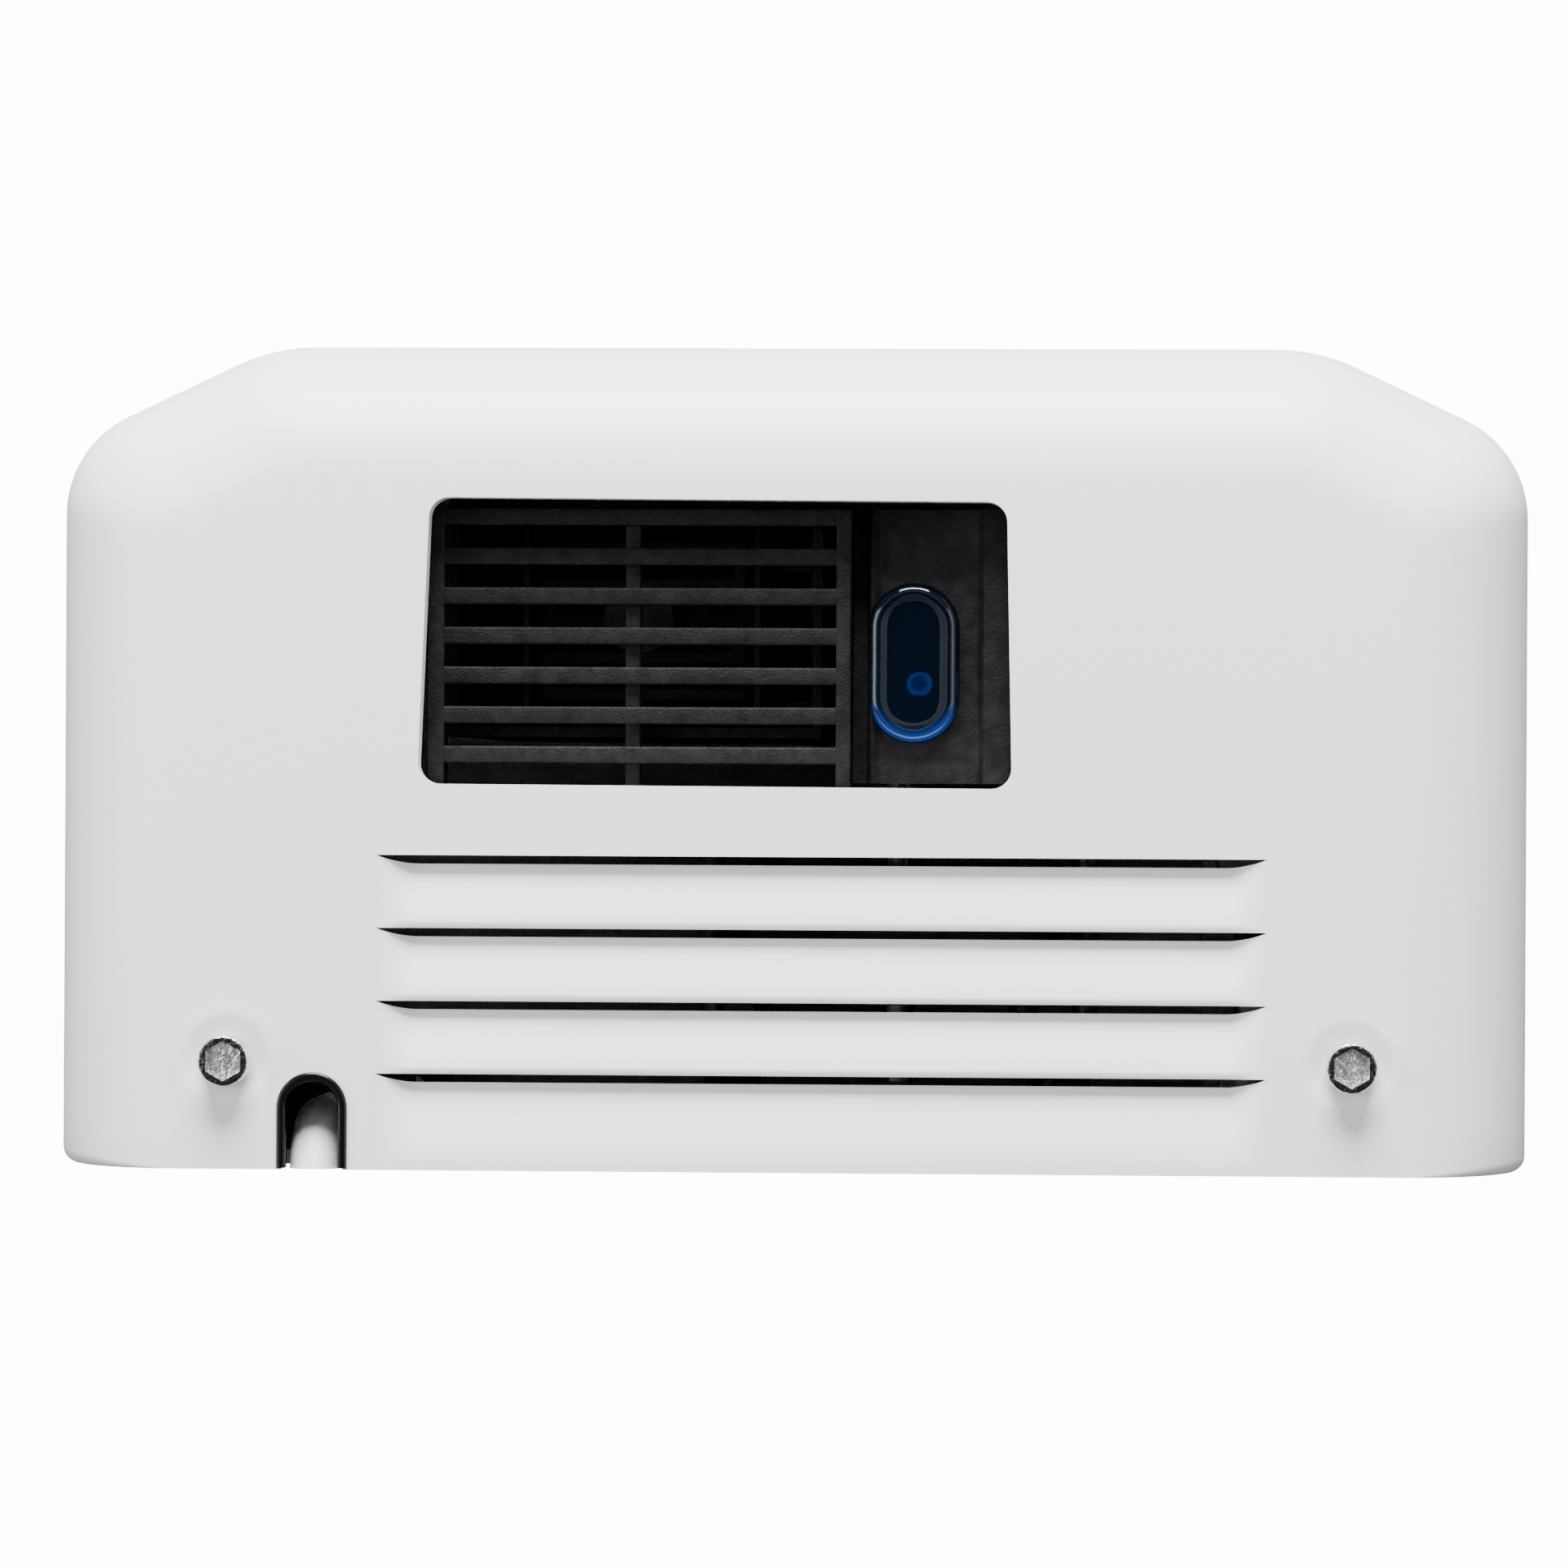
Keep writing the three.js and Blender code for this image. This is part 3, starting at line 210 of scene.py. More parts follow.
def grid_faces(rows, columns, close_rows=False, close_columns=False):
    """Quads over a grid of rows x columns points, wrapped round where asked."""
    index = np.arange(rows * columns).reshape(rows, columns)
    if close_rows:
        index = np.vstack([index, index[:1]])
    if close_columns:
        index = np.hstack([index, index[:, :1]])
    quads = [index[:-1, :-1], index[:-1, 1:], index[1:, 1:], index[1:, :-1]]
    return np.stack([q.ravel() for q in quads], axis=1)


def end_faces(rows, columns):
    """The two faces that close a tube of rows x columns points."""
    return [list(range(columns))[::-1], list(range((rows - 1) * columns, rows * columns))]


def lathe(name, profile, centre, segments):
    """Turns a profile of (radius, height) points round Z: x = r cos a, y = r sin a, z = height."""
    profile = np.asarray(profile, float)
    turn = np.linspace(0, 2 * np.pi, segments, endpoint=False)
    radius = profile[:, 0][:, None]
    along = np.repeat(profile[:, 1][:, None], segments, axis=1)
    points = np.stack([radius * np.cos(turn), radius * np.sin(turn), along], axis=2).reshape(-1, 3)
    faces = grid_faces(len(profile), segments, close_columns=True)
    return make_object(name, points + np.asarray(centre), faces, 35)


def sweep(name, section, path, side, smooth):
    """Carries a closed section of (across, up) points along a path: each ring is the path point plus
    across times the side direction, plus up times the direction square to it and to the path."""
    path = np.asarray(path, float)
    section = np.asarray(section, float)
    heading = np.gradient(path, axis=0)
    heading /= np.linalg.norm(heading, axis=1)[:, None]
    side = np.broadcast_to(np.asarray(side, float), path.shape)
    lift = np.cross(heading, side)
    lift /= np.linalg.norm(lift, axis=1)[:, None]
    rings = (path[:, None] + section[None, :, :1] * side[:, None] + section[None, :, 1:] * lift[:, None])
    count = len(section)
    faces = grid_faces(len(path), count, close_columns=True).tolist()
    faces += end_faces(len(path), count)
    return make_object(name, rings.reshape(-1, 3), faces, smooth)


def arc(before, corner, after, radius, count):
    """Points of the arc that rounds a corner between two straight lines."""
    before, corner, after = (np.asarray(p, float) for p in (before, corner, after))
    into = (corner - before) / np.linalg.norm(corner - before)
    out = (after - corner) / np.linalg.norm(after - corner)
    turn = np.arccos(np.clip(into @ out, -1, 1))
    hand = np.sign(into[0] * out[1] - into[1] * out[0])
    start = corner - into * radius * np.tan(turn / 2)
    centre = start + hand * radius * np.array([-into[1], into[0]])
    angle = hand * np.linspace(0, turn, count)
    arm = start - centre
    return centre + np.stack([
        arm[0] * np.cos(angle) - arm[1] * np.sin(angle),
        arm[0] * np.sin(angle) + arm[1] * np.cos(angle)], axis=1)


def rounded_loop(corners, radius, count=7):
    """A closed loop through corners, each rounded by an arc."""
    corners = np.asarray(corners, float)
    arcs = [arc(corners[i - 1], corners[i], corners[(i + 1) % len(corners)], radius, count)
            for i in range(len(corners))]
    return np.concatenate(arcs)


def rounded_box(name, low, high, radius):
    """A block with rounded edges: a grid over a sphere of the edge's radius, each eighth of it moved out to
    its own corner."""
    low, high = np.asarray(low, float), np.asarray(high, float)
    steps = 4
    rows, columns = 2 * steps, 4 * steps
    quarter = np.linspace(0, np.pi / 2, steps)
    across = np.concatenate([quarter + i * np.pi / 2 for i in range(4)])
    down = np.concatenate([quarter, quarter + np.pi / 2])
    turn, tilt = np.meshgrid(across, down, indexing="xy")
    normal = np.stack([np.sin(tilt) * np.cos(turn), np.sin(tilt) * np.sin(turn), np.cos(tilt)], axis=2)
    quadrant = np.repeat(np.arange(4), steps)
    sign_x = np.where((quadrant == 0) | (quadrant == 3), 1, -1)[None, :]
    sign_y = np.where(quadrant < 2, 1, -1)[None, :]
    sign_z = np.repeat([1, -1], steps)[:, None]
    signs = np.stack(np.broadcast_arrays(sign_x, sign_y, sign_z), axis=2)
    points = (low + high) / 2 + signs * ((high - low) / 2 - radius) + normal * radius
    faces = grid_faces(rows, columns, close_columns=True).tolist() + end_faces(rows, columns)
    return make_object(name, points.reshape(-1, 3), faces, 50)


def unite(name, objects):
    """Joins pieces of one part into one object, keeping each one's faces."""
    points, faces, start = [], [], 0
    for obj in objects:
        count = len(obj.data.vertices)
        points.append(vertex_places(obj))
        faces += [[start + v for v in face.vertices] for face in obj.data.polygons]
        start += count
        bpy.data.objects.remove(obj)
    mesh = bpy.data.meshes.new(name)
    mesh.from_pydata(np.concatenate(points).tolist(), [], faces)
    made = bpy.data.objects.new(name, mesh)
    bpy.context.scene.collection.objects.link(made)
    shade(made, 40)
    return made


def combine(obj, operation, others):
    """Adds closed solids to a closed piece, or cuts them out of it."""
    for other in others:
        modifier = obj.modifiers.new("combine", "BOOLEAN")
        modifier.operation = operation
        modifier.solver = "MANIFOLD"
        modifier.object = other
    settle(obj)
    for other in others:
        bpy.data.objects.remove(other)


def prism(name, loop, z0, z1):
    """A closed outline in X and Y, carried straight from z0 to z1."""
    loop = np.asarray(loop, float)
    count = len(loop)
    rings = [np.column_stack([loop, np.full(count, z)]) for z in (z0, z1)]
    faces = grid_faces(2, count, close_columns=True).tolist() + end_faces(2, count)
    return make_object(name, np.vstack(rings), faces, 40)


def circle(x, y, radius, count):
    """Points round a circle: x + r cos a, y + r sin a."""
    turn = np.linspace(0, 2 * np.pi, count, endpoint=False)
    return np.column_stack([x + radius * np.cos(turn), y + radius * np.sin(turn)])


def stadium(x, y, width, height, count=28):
    """A slot outline: two half circles of the width, joined by straight sides."""
    radius = width / 2
    turn = np.linspace(0, np.pi, count)
    reach = height / 2 - radius
    top = np.column_stack([x + radius * np.cos(turn), y + reach + radius * np.sin(turn)])
    low = np.column_stack([x - radius * np.cos(turn), y - reach - radius * np.sin(turn)])
    return np.vstack([top, low])


def smooth_step(t):
    """0 below 0, 1 above 1, and 3t^2 - 2t^3 between."""
    t = np.clip(t, 0, 1)
    return t * t * (3 - 2 * t)


# ---- materials
def add(tree, kind, settings=None, **inputs):
    """Adds a shader node, sets its settings and its inputs, and links an input that is given as a socket."""
    node = tree.nodes.new(kind)
    for key, value in (settings or {}).items():
        setattr(node, key, value)
    for key, value in inputs.items():
        socket = node.inputs[key.replace("_", " ")]
        if isinstance(value, bpy.types.NodeSocket):
            tree.links.new(value, socket)
        else:
            socket.default_value = value
    return node


def ramp(tree, factor, *stops):
    """A colour ramp through (place, colour) stops."""
    node = add(tree, "ShaderNodeValToRGB", Fac=factor)
    elements = node.color_ramp.elements
    while len(elements) < len(stops):
        elements.new(0.5)
    for element, (place, colour) in zip(elements, stops):
        element.position = place
        element.color = (*colour, 1) if len(colour) == 3 else colour
    return node.outputs["Color"]


def scaled(colour, factor):
    """A colour made lighter or darker."""
    return tuple(min(1.0, c * factor) for c in colour)


def grain(tree, size_mm, detail=2.0, stretch=(1, 1, 1)):
    """Noise whose blobs are about size_mm across, on the piece's own object coordinates."""
    place = add(tree, "ShaderNodeTexCoord").outputs["Object"]
    mapped = add(tree, "ShaderNodeMapping", Vector=place, Scale=stretch)
    return add(tree, "ShaderNodeTexNoise", Vector=mapped.outputs["Vector"], Scale=1000 / size_mm,
               Detail=detail).outputs["Fac"]


def surface(name, colour, roughness, metallic=0.0, ior=1.5, fine=0.5, bump=0.1, mottle=0.06,
            rough_spread=0.06, stretch=(1, 1, 1), patch=14.0, **sockets):
    """One finish: base colour that drifts a little over patches, roughness that drifts with the fine grain,
    and a bump from the same grain. fine and patch are sizes in millimetres."""
    made = bpy.data.materials.new(name)
    made.use_nodes = True
    tree = made.node_tree
    shader = tree.nodes["Principled BSDF"]
    small = grain(tree, fine, 2.0, stretch)
    large = grain(tree, patch, 3.0)
    base = ramp(tree, large, (0.3, scaled(colour, 1 - mottle)), (0.7, scaled(colour, 1 + mottle)))
    tree.links.new(base, shader.inputs["Base Color"])
    spread = add(tree, "ShaderNodeMapRange", Value=small, To_Min=roughness - rough_spread,
                 To_Max=roughness + rough_spread)
    tree.links.new(spread.outputs["Result"], shader.inputs["Roughness"])
    lift = add(tree, "ShaderNodeBump", Height=small, Strength=bump, Distance=fine * MM)
    tree.links.new(lift.outputs["Normal"], shader.inputs["Normal"])
    shader.inputs["Metallic"].default_value = metallic
    shader.inputs["IOR"].default_value = ior
    for key, value in sockets.items():
        shader.inputs[key.replace("_", " ")].default_value = value
    return made


def banded(made, direction, strength, dark):
    """Adds bands, such as stacked sheets or wound wire, to a finish: colour and bump follow a wave, and the
    colour is darkened in the wave's troughs as painted shade in the grooves between sheets or wires. The
    bands stand BAND_SPACING apart, which is coarser than real sheets or wires, so that they show."""
    tree = made.node_tree
    shader = tree.nodes["Principled BSDF"]
    place = add(tree, "ShaderNodeTexCoord").outputs["Object"]
    wave = add(tree, "ShaderNodeTexWave", {"wave_type": "BANDS", "bands_direction": direction}, Vector=place,
               Scale=WAVE_PERIOD / BAND_SPACING, Distortion=0.0)
    old = shader.inputs["Base Color"].links[0].from_socket
    # painted shade: the colour is darker in the troughs between bands
    shadow = ramp(tree, wave.outputs["Fac"], (0.0, (dark, dark, dark)), (0.5, (1, 1, 1)))
    mix = add(tree, "ShaderNodeMix", {"data_type": "RGBA", "blend_type": "MULTIPLY"})
    mix.inputs[0].default_value = 1.0
    tree.links.new(old, mix.inputs[6])
    tree.links.new(shadow, mix.inputs[7])
    tree.links.new(mix.outputs[2], shader.inputs["Base Color"])
    lift = add(tree, "ShaderNodeBump", Height=wave.outputs["Fac"], Strength=strength, Distance=1.0 * MM)
    tree.links.new(lift.outputs["Normal"], shader.inputs["Normal"])
    return made


FINISHES = {}


def make_finishes(colours):
    """Every finish of the dryer, by its slot in the record."""
    FINISHES.update({
        # polyester powder coat, baked: satin, with a slight orange peel about 1.5 mm across
        "powder_coat": surface(
            "polyester_powder_coat", colours.powder_coat, 0.42, fine=1.6, bump=0.02, mottle=0.004,
            rough_spread=0.03, patch=60.0),
        # glass-filled nylon from a spark-eroded mould: dull, pitted, greyer where it is rubbed
        "black_plastic": surface(
            "spark_textured_black_nylon", colours.black_plastic, 0.55, fine=0.45, bump=0.5, mottle=0.5,
            rough_spread=0.14, patch=3.0, Specular_IOR_Level=0.13),
        # soft PVC edging, extruded: smooth with a wet-looking gloss
        "black_rubber": surface(
            "extruded_black_edging", colours.rubber, 0.22, fine=0.8, bump=0.04, mottle=0.2, patch=6.0,
            Specular_IOR_Level=0.3),
        # screws and shaft: zinc-plated steel, turned, with fine rings
        "bright_steel": surface(
            "bright_zinc_plated_steel", colours.steel, 0.22, metallic=1.0, fine=0.35, bump=0.06,
            mottle=0.08, stretch=(1, 1, 0.15), patch=3.0),
        # hot-dip galvanised sheet: dull with faint spangles a few millimetres across
        "galvanised": surface(
            "galvanised_sheet", colours.zinc, 0.42, metallic=1.0, fine=1.2, bump=0.05, mottle=0.14,
            patch=7.0),
        # punched electrical steel, stacked: dull bands across the stack
        "lamination": banded(surface(
            "stacked_electrical_steel", linear("#6E7378"), 0.45, metallic=0.9, fine=0.4, mottle=0.1,
            patch=8.0), "Y", 0.5, 0.45),
        # enamelled wire, wound: brown and glossy, in ridges
        "copper": banded(surface(
            "enamelled_copper_wire", colours.copper, 0.28, metallic=0.85, fine=0.4, mottle=0.12,
            patch=6.0), "X", 0.8, 0.35),
        # nickel-chrome wire after firing: straw to grey oxide
        "nichrome": surface(
            "oxidised_nichrome", linear("#1C1A18"), 0.5, metallic=0.3, fine=0.5, mottle=0.25, patch=6.0),
        # epoxy glass fibre under solder mask: glossy green, with tracks just felt under it
        "board_green": surface(
            "solder_mask_on_glass_fibre", colours.board, 0.28, fine=1.4, bump=0.15, mottle=0.22, patch=3.0),
        # mica flakes pressed to a sheet: dark, with a flaky sheen
        "mica": surface(
            "pressed_mica_sheet", colours.mica, 0.5, fine=1.0, bump=0.1, mottle=0.22, patch=4.0),
        # cable jacket: extruded PVC, matt with faint lengthwise drawing
        "grey_pvc": surface(
            "extruded_pvc_jacket", colours.cable, 0.45, fine=0.5, bump=0.04, mottle=0.03,
            stretch=(1, 1, 0.1), patch=12.0),
        # injection-moulded nylon: cream, satin
        "cream_nylon": surface(
            "moulded_cream_nylon", colours.nylon, 0.45, fine=0.6, bump=0.08, mottle=0.05, patch=9.0),
        # rolled and pressed aluminium: faint lines along the rolling
        "aluminium": surface(
            "pressed_aluminium", colours.aluminium, 0.36, metallic=1.0, fine=0.4, bump=0.08, mottle=0.08,
            stretch=(1, 0.2, 1), patch=10.0),
        # tinted acrylic, moulded and polished: clear enough to see the board through it; its rim towards the
        # wall carries a painted glow
        "blue_lens": add_glow(surface(
            "tinted_acrylic", colours.lens, 0.06, ior=1.49, fine=2.0, bump=0.01, mottle=0.05,
            rough_spread=0.02, patch=14.0, Transmission_Weight=0.9, Specular_IOR_Level=0.15),
            linear("#0070FF"), 0.2),
        # socket screws: bright steel in the socket and at the rim, with a painted dark reflection on the face
        # round the socket
        "screw_steel": darken_as_painted_reflection(surface(
            "steel_with_painted_dark_reflection", scaled(colours.steel, 1.3), 0.3, metallic=1.0, fine=1.1,
            bump=0.5, mottle=0.3, patch=2.2), linear("#3C3C3E")),
        # phenolic resin, compression moulded: brown-black and half glossy
        "bakelite": surface(
            "black_phenolic", linear("#141210"), 0.4, fine=0.8, bump=0.05, mottle=0.2, patch=4.0),
        # clear epoxy cast round a lit die
        "clear_epoxy": add_glow(surface(
            "lit_epoxy_lamp", colours.lamp, 0.1, ior=1.5, fine=1.0, bump=0.01, mottle=0.02,
            rough_spread=0.02, Transmission_Weight=0.4, Specular_IOR_Level=0.3),
            linear("#2FA8D8"), 3.0),
    })


def add_glow(made, colour, strength):
    """Makes a finish glow where the piece's own glow attribute is high: on the lens this is painted light, a
    glow on its rim that stands in for light leaving there; on the lamp it is the lamp's own light.
    """
    tree = made.node_tree
    shader = tree.nodes["Principled BSDF"]
    glow = add(tree, "ShaderNodeAttribute", {"attribute_name": "glow"}).outputs["Fac"]
    level = add(tree, "ShaderNodeMath", {"operation": "MULTIPLY"})
    tree.links.new(glow, level.inputs[0])
    level.inputs[1].default_value = strength
    shader.inputs["Emission Color"].default_value = (*colour, 1)
    tree.links.new(level.outputs["Value"], shader.inputs["Emission Strength"])
    return made


def darken_as_painted_reflection(made, dark):
    """Darkens a finish where the piece's own bright attribute is 0: a painted dark reflection, such as the
    ring on a screw's face round its socket.
    """
    tree = made.node_tree
    shader = tree.nodes["Principled BSDF"]
    bright = add(tree, "ShaderNodeAttribute", {"attribute_name": "bright"}).outputs["Fac"]
    old = shader.inputs["Base Color"].links[0].from_socket
    mix = add(tree, "ShaderNodeMix", {"data_type": "RGBA"})
    tree.links.new(bright, mix.inputs[0])
    mix.inputs[6].default_value = (*dark, 1)
    tree.links.new(old, mix.inputs[7])
    tree.links.new(mix.outputs[2], shader.inputs["Base Color"])
    return made


def dress(obj, slot, body, *nodes, finish=None):
    """Gives a new piece its finish, its body and the CAD nodes that it stands for."""
    obj.data.materials.clear()
    obj.data.materials.append(FINISHES[finish or slot])
    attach(obj, body)
    if nodes:
        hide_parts(*nodes)
    return obj


# ---- cover
def cover_outline(sizes, inset, depth):
    """The cover's outline at one height: from the left rear edge, round the slanted corners and the front,
    to the right rear edge. Each straight and each arc has a fixed number of points, so that rings match."""
    half = COVER_HIGH[0] - inset
    front = -depth + inset
    side, deep = sizes.chamfer_side, sizes.chamfer_depth
    slope = np.hypot(side, deep)
    side_y = -depth + deep + inset * (slope - deep) / side
    front_x = COVER_HIGH[0] - side - inset * (slope - side) / deep
    curl = sizes.rear_curl * (1 - inset / sizes.fillet)
    side_radius = max(sizes.side_radius - 0.7 * inset, 2 * MM)
    front_radius = max(sizes.front_radius - 0.7 * inset, 2 * MM)
    turn = np.linspace(0, np.pi / 2, 6)
    rear = np.column_stack([-half + curl * (1 - np.sin(turn)), -curl * (1 - np.cos(turn))])
    corner_a = arc((-half, 0), (-half, side_y), (-front_x, front), side_radius, 12)
    corner_b = arc((-half, side_y), (-front_x, front), (front_x, front), front_radius, 12)
    middle = np.array([0.0, front])

    def between(a, b, count):
        """Points spread evenly between two, without them."""
        share = np.linspace(0, 1, count + 2)[1:-1, None]
        return a + (b - a) * share

    left = np.vstack([rear, between(rear[-1], corner_a[0], 16), corner_a,
                      between(corner_a[-1], corner_b[0], 8), corner_b, between(corner_b[-1], middle, 12)])
    right = left[::-1] * [-1, 1]
    return np.vstack([left, middle, right])


def inside(points, loop):
    """True where points lie inside a closed loop, by counting the loop's edges that a ray crosses."""
    x, y = points[:, 0][:, None], points[:, 1][:, None]
    ax, ay = loop[:, 0], loop[:, 1]
    bx, by = np.roll(ax, -1), np.roll(ay, -1)
    spans = (ay > y) != (by > y)
    rise = np.where(by == ay, 1, by - ay)
    crosses = x < (bx - ax) * (y - ay) / rise + ax
    return (np.sum(spans & crosses, axis=1) % 2).astype(bool)


def louvre_lips(sizes):
    """Front lip of each slit, from the wall outwards."""
    return [sizes.louvre_nearest - i * sizes.louvre_pitch for i in range(4)]


def louvre_share(sizes, x):
    """1 along a slit, falling smoothly to 0 at both ends."""
    taper = sizes.louvre_taper
    return smooth_step((x - sizes.louvre_left) / taper) * smooth_step((sizes.louvre_right - x) / taper)


def slit_loop(sizes, lip, count=120):
    """A slit's outline: straight front lip, rear lip that meets it at both ends. Points crowd towards the
    ends, as middle minus half the length times cos t."""
    middle = (sizes.louvre_left + sizes.louvre_right) / 2
    half = (sizes.louvre_right - sizes.louvre_left) / 2 - 0.2 * MM
    x = middle - half * np.cos(np.linspace(0, np.pi, count))
    gap = sizes.louvre_gap * np.sqrt(louvre_share(sizes, x)) + 0.05 * MM
    front = np.column_stack([x, np.full(count, lip)])
    rear = np.column_stack([x, lip + gap])[::-1]
    return np.vstack([front, rear])


def pressed_height(sizes, points):
    """How far the underside is pressed in at each point: each strip behind a slit is deepest at the slit and
    ramps back to the surface at the next one, and a ring round each screw is a shallow dish."""
    x, y = points[:, 0], points[:, 1]
    share = louvre_share(sizes, x)
    gap = sizes.louvre_gap * np.sqrt(share)
    lips = louvre_lips(sizes)
    height = np.zeros(len(points))
    for i, lip in enumerate(lips):
        end = lips[i - 1] if i > 0 else -2.0 * MM
        start = lip + gap
        along = np.clip((y - start) / (end - start), 0, 1)
        here = (y > lip + gap * 0.5) & (y <= end + 1e-7)
        ramp_in = sizes.louvre_depth * (1 - along) ** 1.5
        rolled = sizes.louvre_roll * smooth_step((y - end + 1.0 * MM) / (0.9 * MM)) if i > 0 else 0
        height = np.where(here, share * (ramp_in + rolled), height)
    for hand in (-1, 1):
        away = np.hypot(x - hand * sizes.screw_x, y + sizes.screw_y)
        height = height + sizes.dimple * (1 - smooth_step((away - 5.4 * MM) / (4.2 * MM)))
    return height


def window_loop():
    """The window: a little wider towards the wall, with rounded corners."""
    return rounded_loop(WINDOW_CORNERS, 4.0 * MM, 9)


def notch_line(half, depth):
    """The cable notch from its left rear corner round its crown to its right rear corner."""
    turn = np.linspace(np.pi, 2 * np.pi, 25)
    crown = -depth + half
    bend = np.column_stack([NOTCH_X + half * np.cos(turn), crown + half * np.sin(turn)])
    return np.vstack([[(NOTCH_X - half, 0)], bend, [(NOTCH_X + half, 0)]])


def trimmed_sheet(border, holes, spots, height, z):
    """A flat sheet as a height over its plan: grid spots and outlines are joined into triangles, triangles
    in holes are dropped, and each point's height is z plus the pressed height."""
    loops = [border, *holes]
    keep_spots = inside(spots, border)
    for hole in holes:
        keep_spots &= ~inside(spots, hole)
    spots = spots[keep_spots]
    edge_points = np.vstack(loops)
    near = np.array([np.min(np.hypot(*(edge_points - spot).T)) for spot in spots])
    spots = spots[near > 0.35 * MM]
    edges, start = [], 0
    for loop in loops:
        count = len(loop)
        edges += [(start + i, start + (i + 1) % count) for i in range(count)]
        start += count
    plan = [Vector(p) for p in np.vstack([edge_points, spots])]
    verts, _, faces, *_ = delaunay_2d_cdt(plan, edges, [], 0, 1e-9)
    flat = np.array([tuple(v) for v in verts])
    triangles = np.array([f for f in faces if len(f) == 3])
    centres = flat[triangles].mean(axis=1)
    stays = inside(centres, border)
    for hole in holes:
        stays &= ~inside(centres, hole)
    one, two, three = (flat[triangles[:, i]] for i in range(3))
    area = np.abs((two[:, 0] - one[:, 0]) * (three[:, 1] - one[:, 1])
                  - (two[:, 1] - one[:, 1]) * (three[:, 0] - one[:, 0])) / 2
    stays &= area > SLIVER
    return np.column_stack([flat, z + height(flat)]), triangles[stays]


def grid_spots(x0, x1, dx, y0, y1, dy):
    """Points on a plain grid."""
    x, y = np.meshgrid(np.arange(x0, x1, dx), np.arange(y0, y1, dy))
    return np.column_stack([x.ravel(), y.ravel()])


def build_cover(sizes):
    """The cover: rings of the outline, inset by r(1 - sin a) and raised by r(1 - cos a) round each edge
    fillet, with a trimmed sheet for the underside and one for the top, then thickened inwards."""
    fillet = sizes.fillet
    tall = TOP - BOTTOM
    base_depth = -COVER_LOW[1] - sizes.lean * (tall - fillet) / tall
    bend = np.linspace(0, np.pi / 2, 15)
    low = [(BOTTOM + fillet * (1 - np.cos(a)), fillet * (1 - np.sin(a))) for a in bend]
    straight = [(z, 0.0) for z in np.linspace(BOTTOM + fillet, TOP - fillet, 18)[1:-1]]
    high = [(TOP - fillet * (1 - np.cos(a)), fillet * (1 - np.sin(a))) for a in bend[::-1]]
    levels = low + straight + high
    rings = []
    for z, inset in levels:
        outline = cover_outline(sizes, inset, base_depth + sizes.lean * (z - BOTTOM) / tall)
        rings.append(np.column_stack([outline, np.full(len(outline), z)]))
    count = len(rings[0])
    wall_points = np.concatenate(rings)
    wall_faces = grid_faces(len(rings), count)

    edge = rings[0][:, :2]
    keep = np.concatenate([[True], np.hypot(*np.diff(edge, axis=0).T) > 1e-6])
    edge = edge[keep]
    notch = notch_line(sizes.notch_half, sizes.notch_depth)
    border = np.vstack([edge, notch[::-1]])
    holes = [window_loop()] + [slit_loop(sizes, lip) for lip in louvre_lips(sizes)]
    spots = [grid_spots(-92 * MM, 106 * MM, 1.6 * MM, -65 * MM, -0.5 * MM, 0.6 * MM),
             grid_spots(-120 * MM, 120 * MM, 7 * MM, -136 * MM, -66 * MM, 7 * MM)]
    for hand in (-1, 1):
        holes.append(circle(hand * sizes.screw_x, -sizes.screw_y, 3.4 * MM, 28))
        spots += [circle(hand * sizes.screw_x, -sizes.screw_y, r * MM, 36) for r in np.arange(4.2, 11, 0.7)]
    under_points, under_faces = trimmed_sheet(
        border, holes, np.vstack(spots), lambda p: pressed_height(sizes, p), BOTTOM)

    lid_edge = rings[-1][:, :2][keep]
    lid_points, lid_faces = trimmed_sheet(
        lid_edge, [], grid_spots(-120 * MM, 120 * MM, 12 * MM, -150 * MM, -2 * MM, 12 * MM),
        lambda p: np.zeros(len(p)), TOP)
    points = np.vstack([wall_points, under_points, lid_points])
    faces = (wall_faces.tolist() + (under_faces + len(wall_points)).tolist()
             + (lid_faces + len(wall_points) + len(under_points)).tolist())
    cover = make_object("pressed_cover", points, faces, 55)
    outward = cover.data.polygons[0]
    if outward.normal.dot(outward.center - Vector((0, -0.08, 0))) < 0:
        cover.data.flip_normals()
    wall = cover.modifiers.new("sheet", "SOLIDIFY")
    wall.thickness = sizes.sheet
    wall.offset = -1
    wall.use_even_offset = False
    settle(cover)
    cover = unite("pressed_cover", [cover, window_flange(sizes)])
    shade(cover, 40)
    return cover


def window_flange(sizes):
    """The window's turned-in edge: rings of the window's outline from the sheet straight up and back, each
    point moved outwards from the window's middle by the ring's own amount."""
    loop = window_loop()
    middle = loop.mean(axis=0)
    reach = (loop - middle) / np.hypot(*(loop - middle).T)[:, None]
    deep = sizes.sheet + 5.2 * MM
    thin = 0.9 * MM
    levels = [(0.02 * MM, sizes.sheet * 0.6), (0.02 * MM, deep), (thin, deep), (thin, sizes.sheet * 0.6)]
    rings = [np.column_stack([loop + reach * out, np.full(len(loop), BOTTOM + up)]) for out, up in levels]
    return make_object("window_flange", np.vstack(rings),
                       grid_faces(4, len(loop), close_rows=True, close_columns=True), 40)


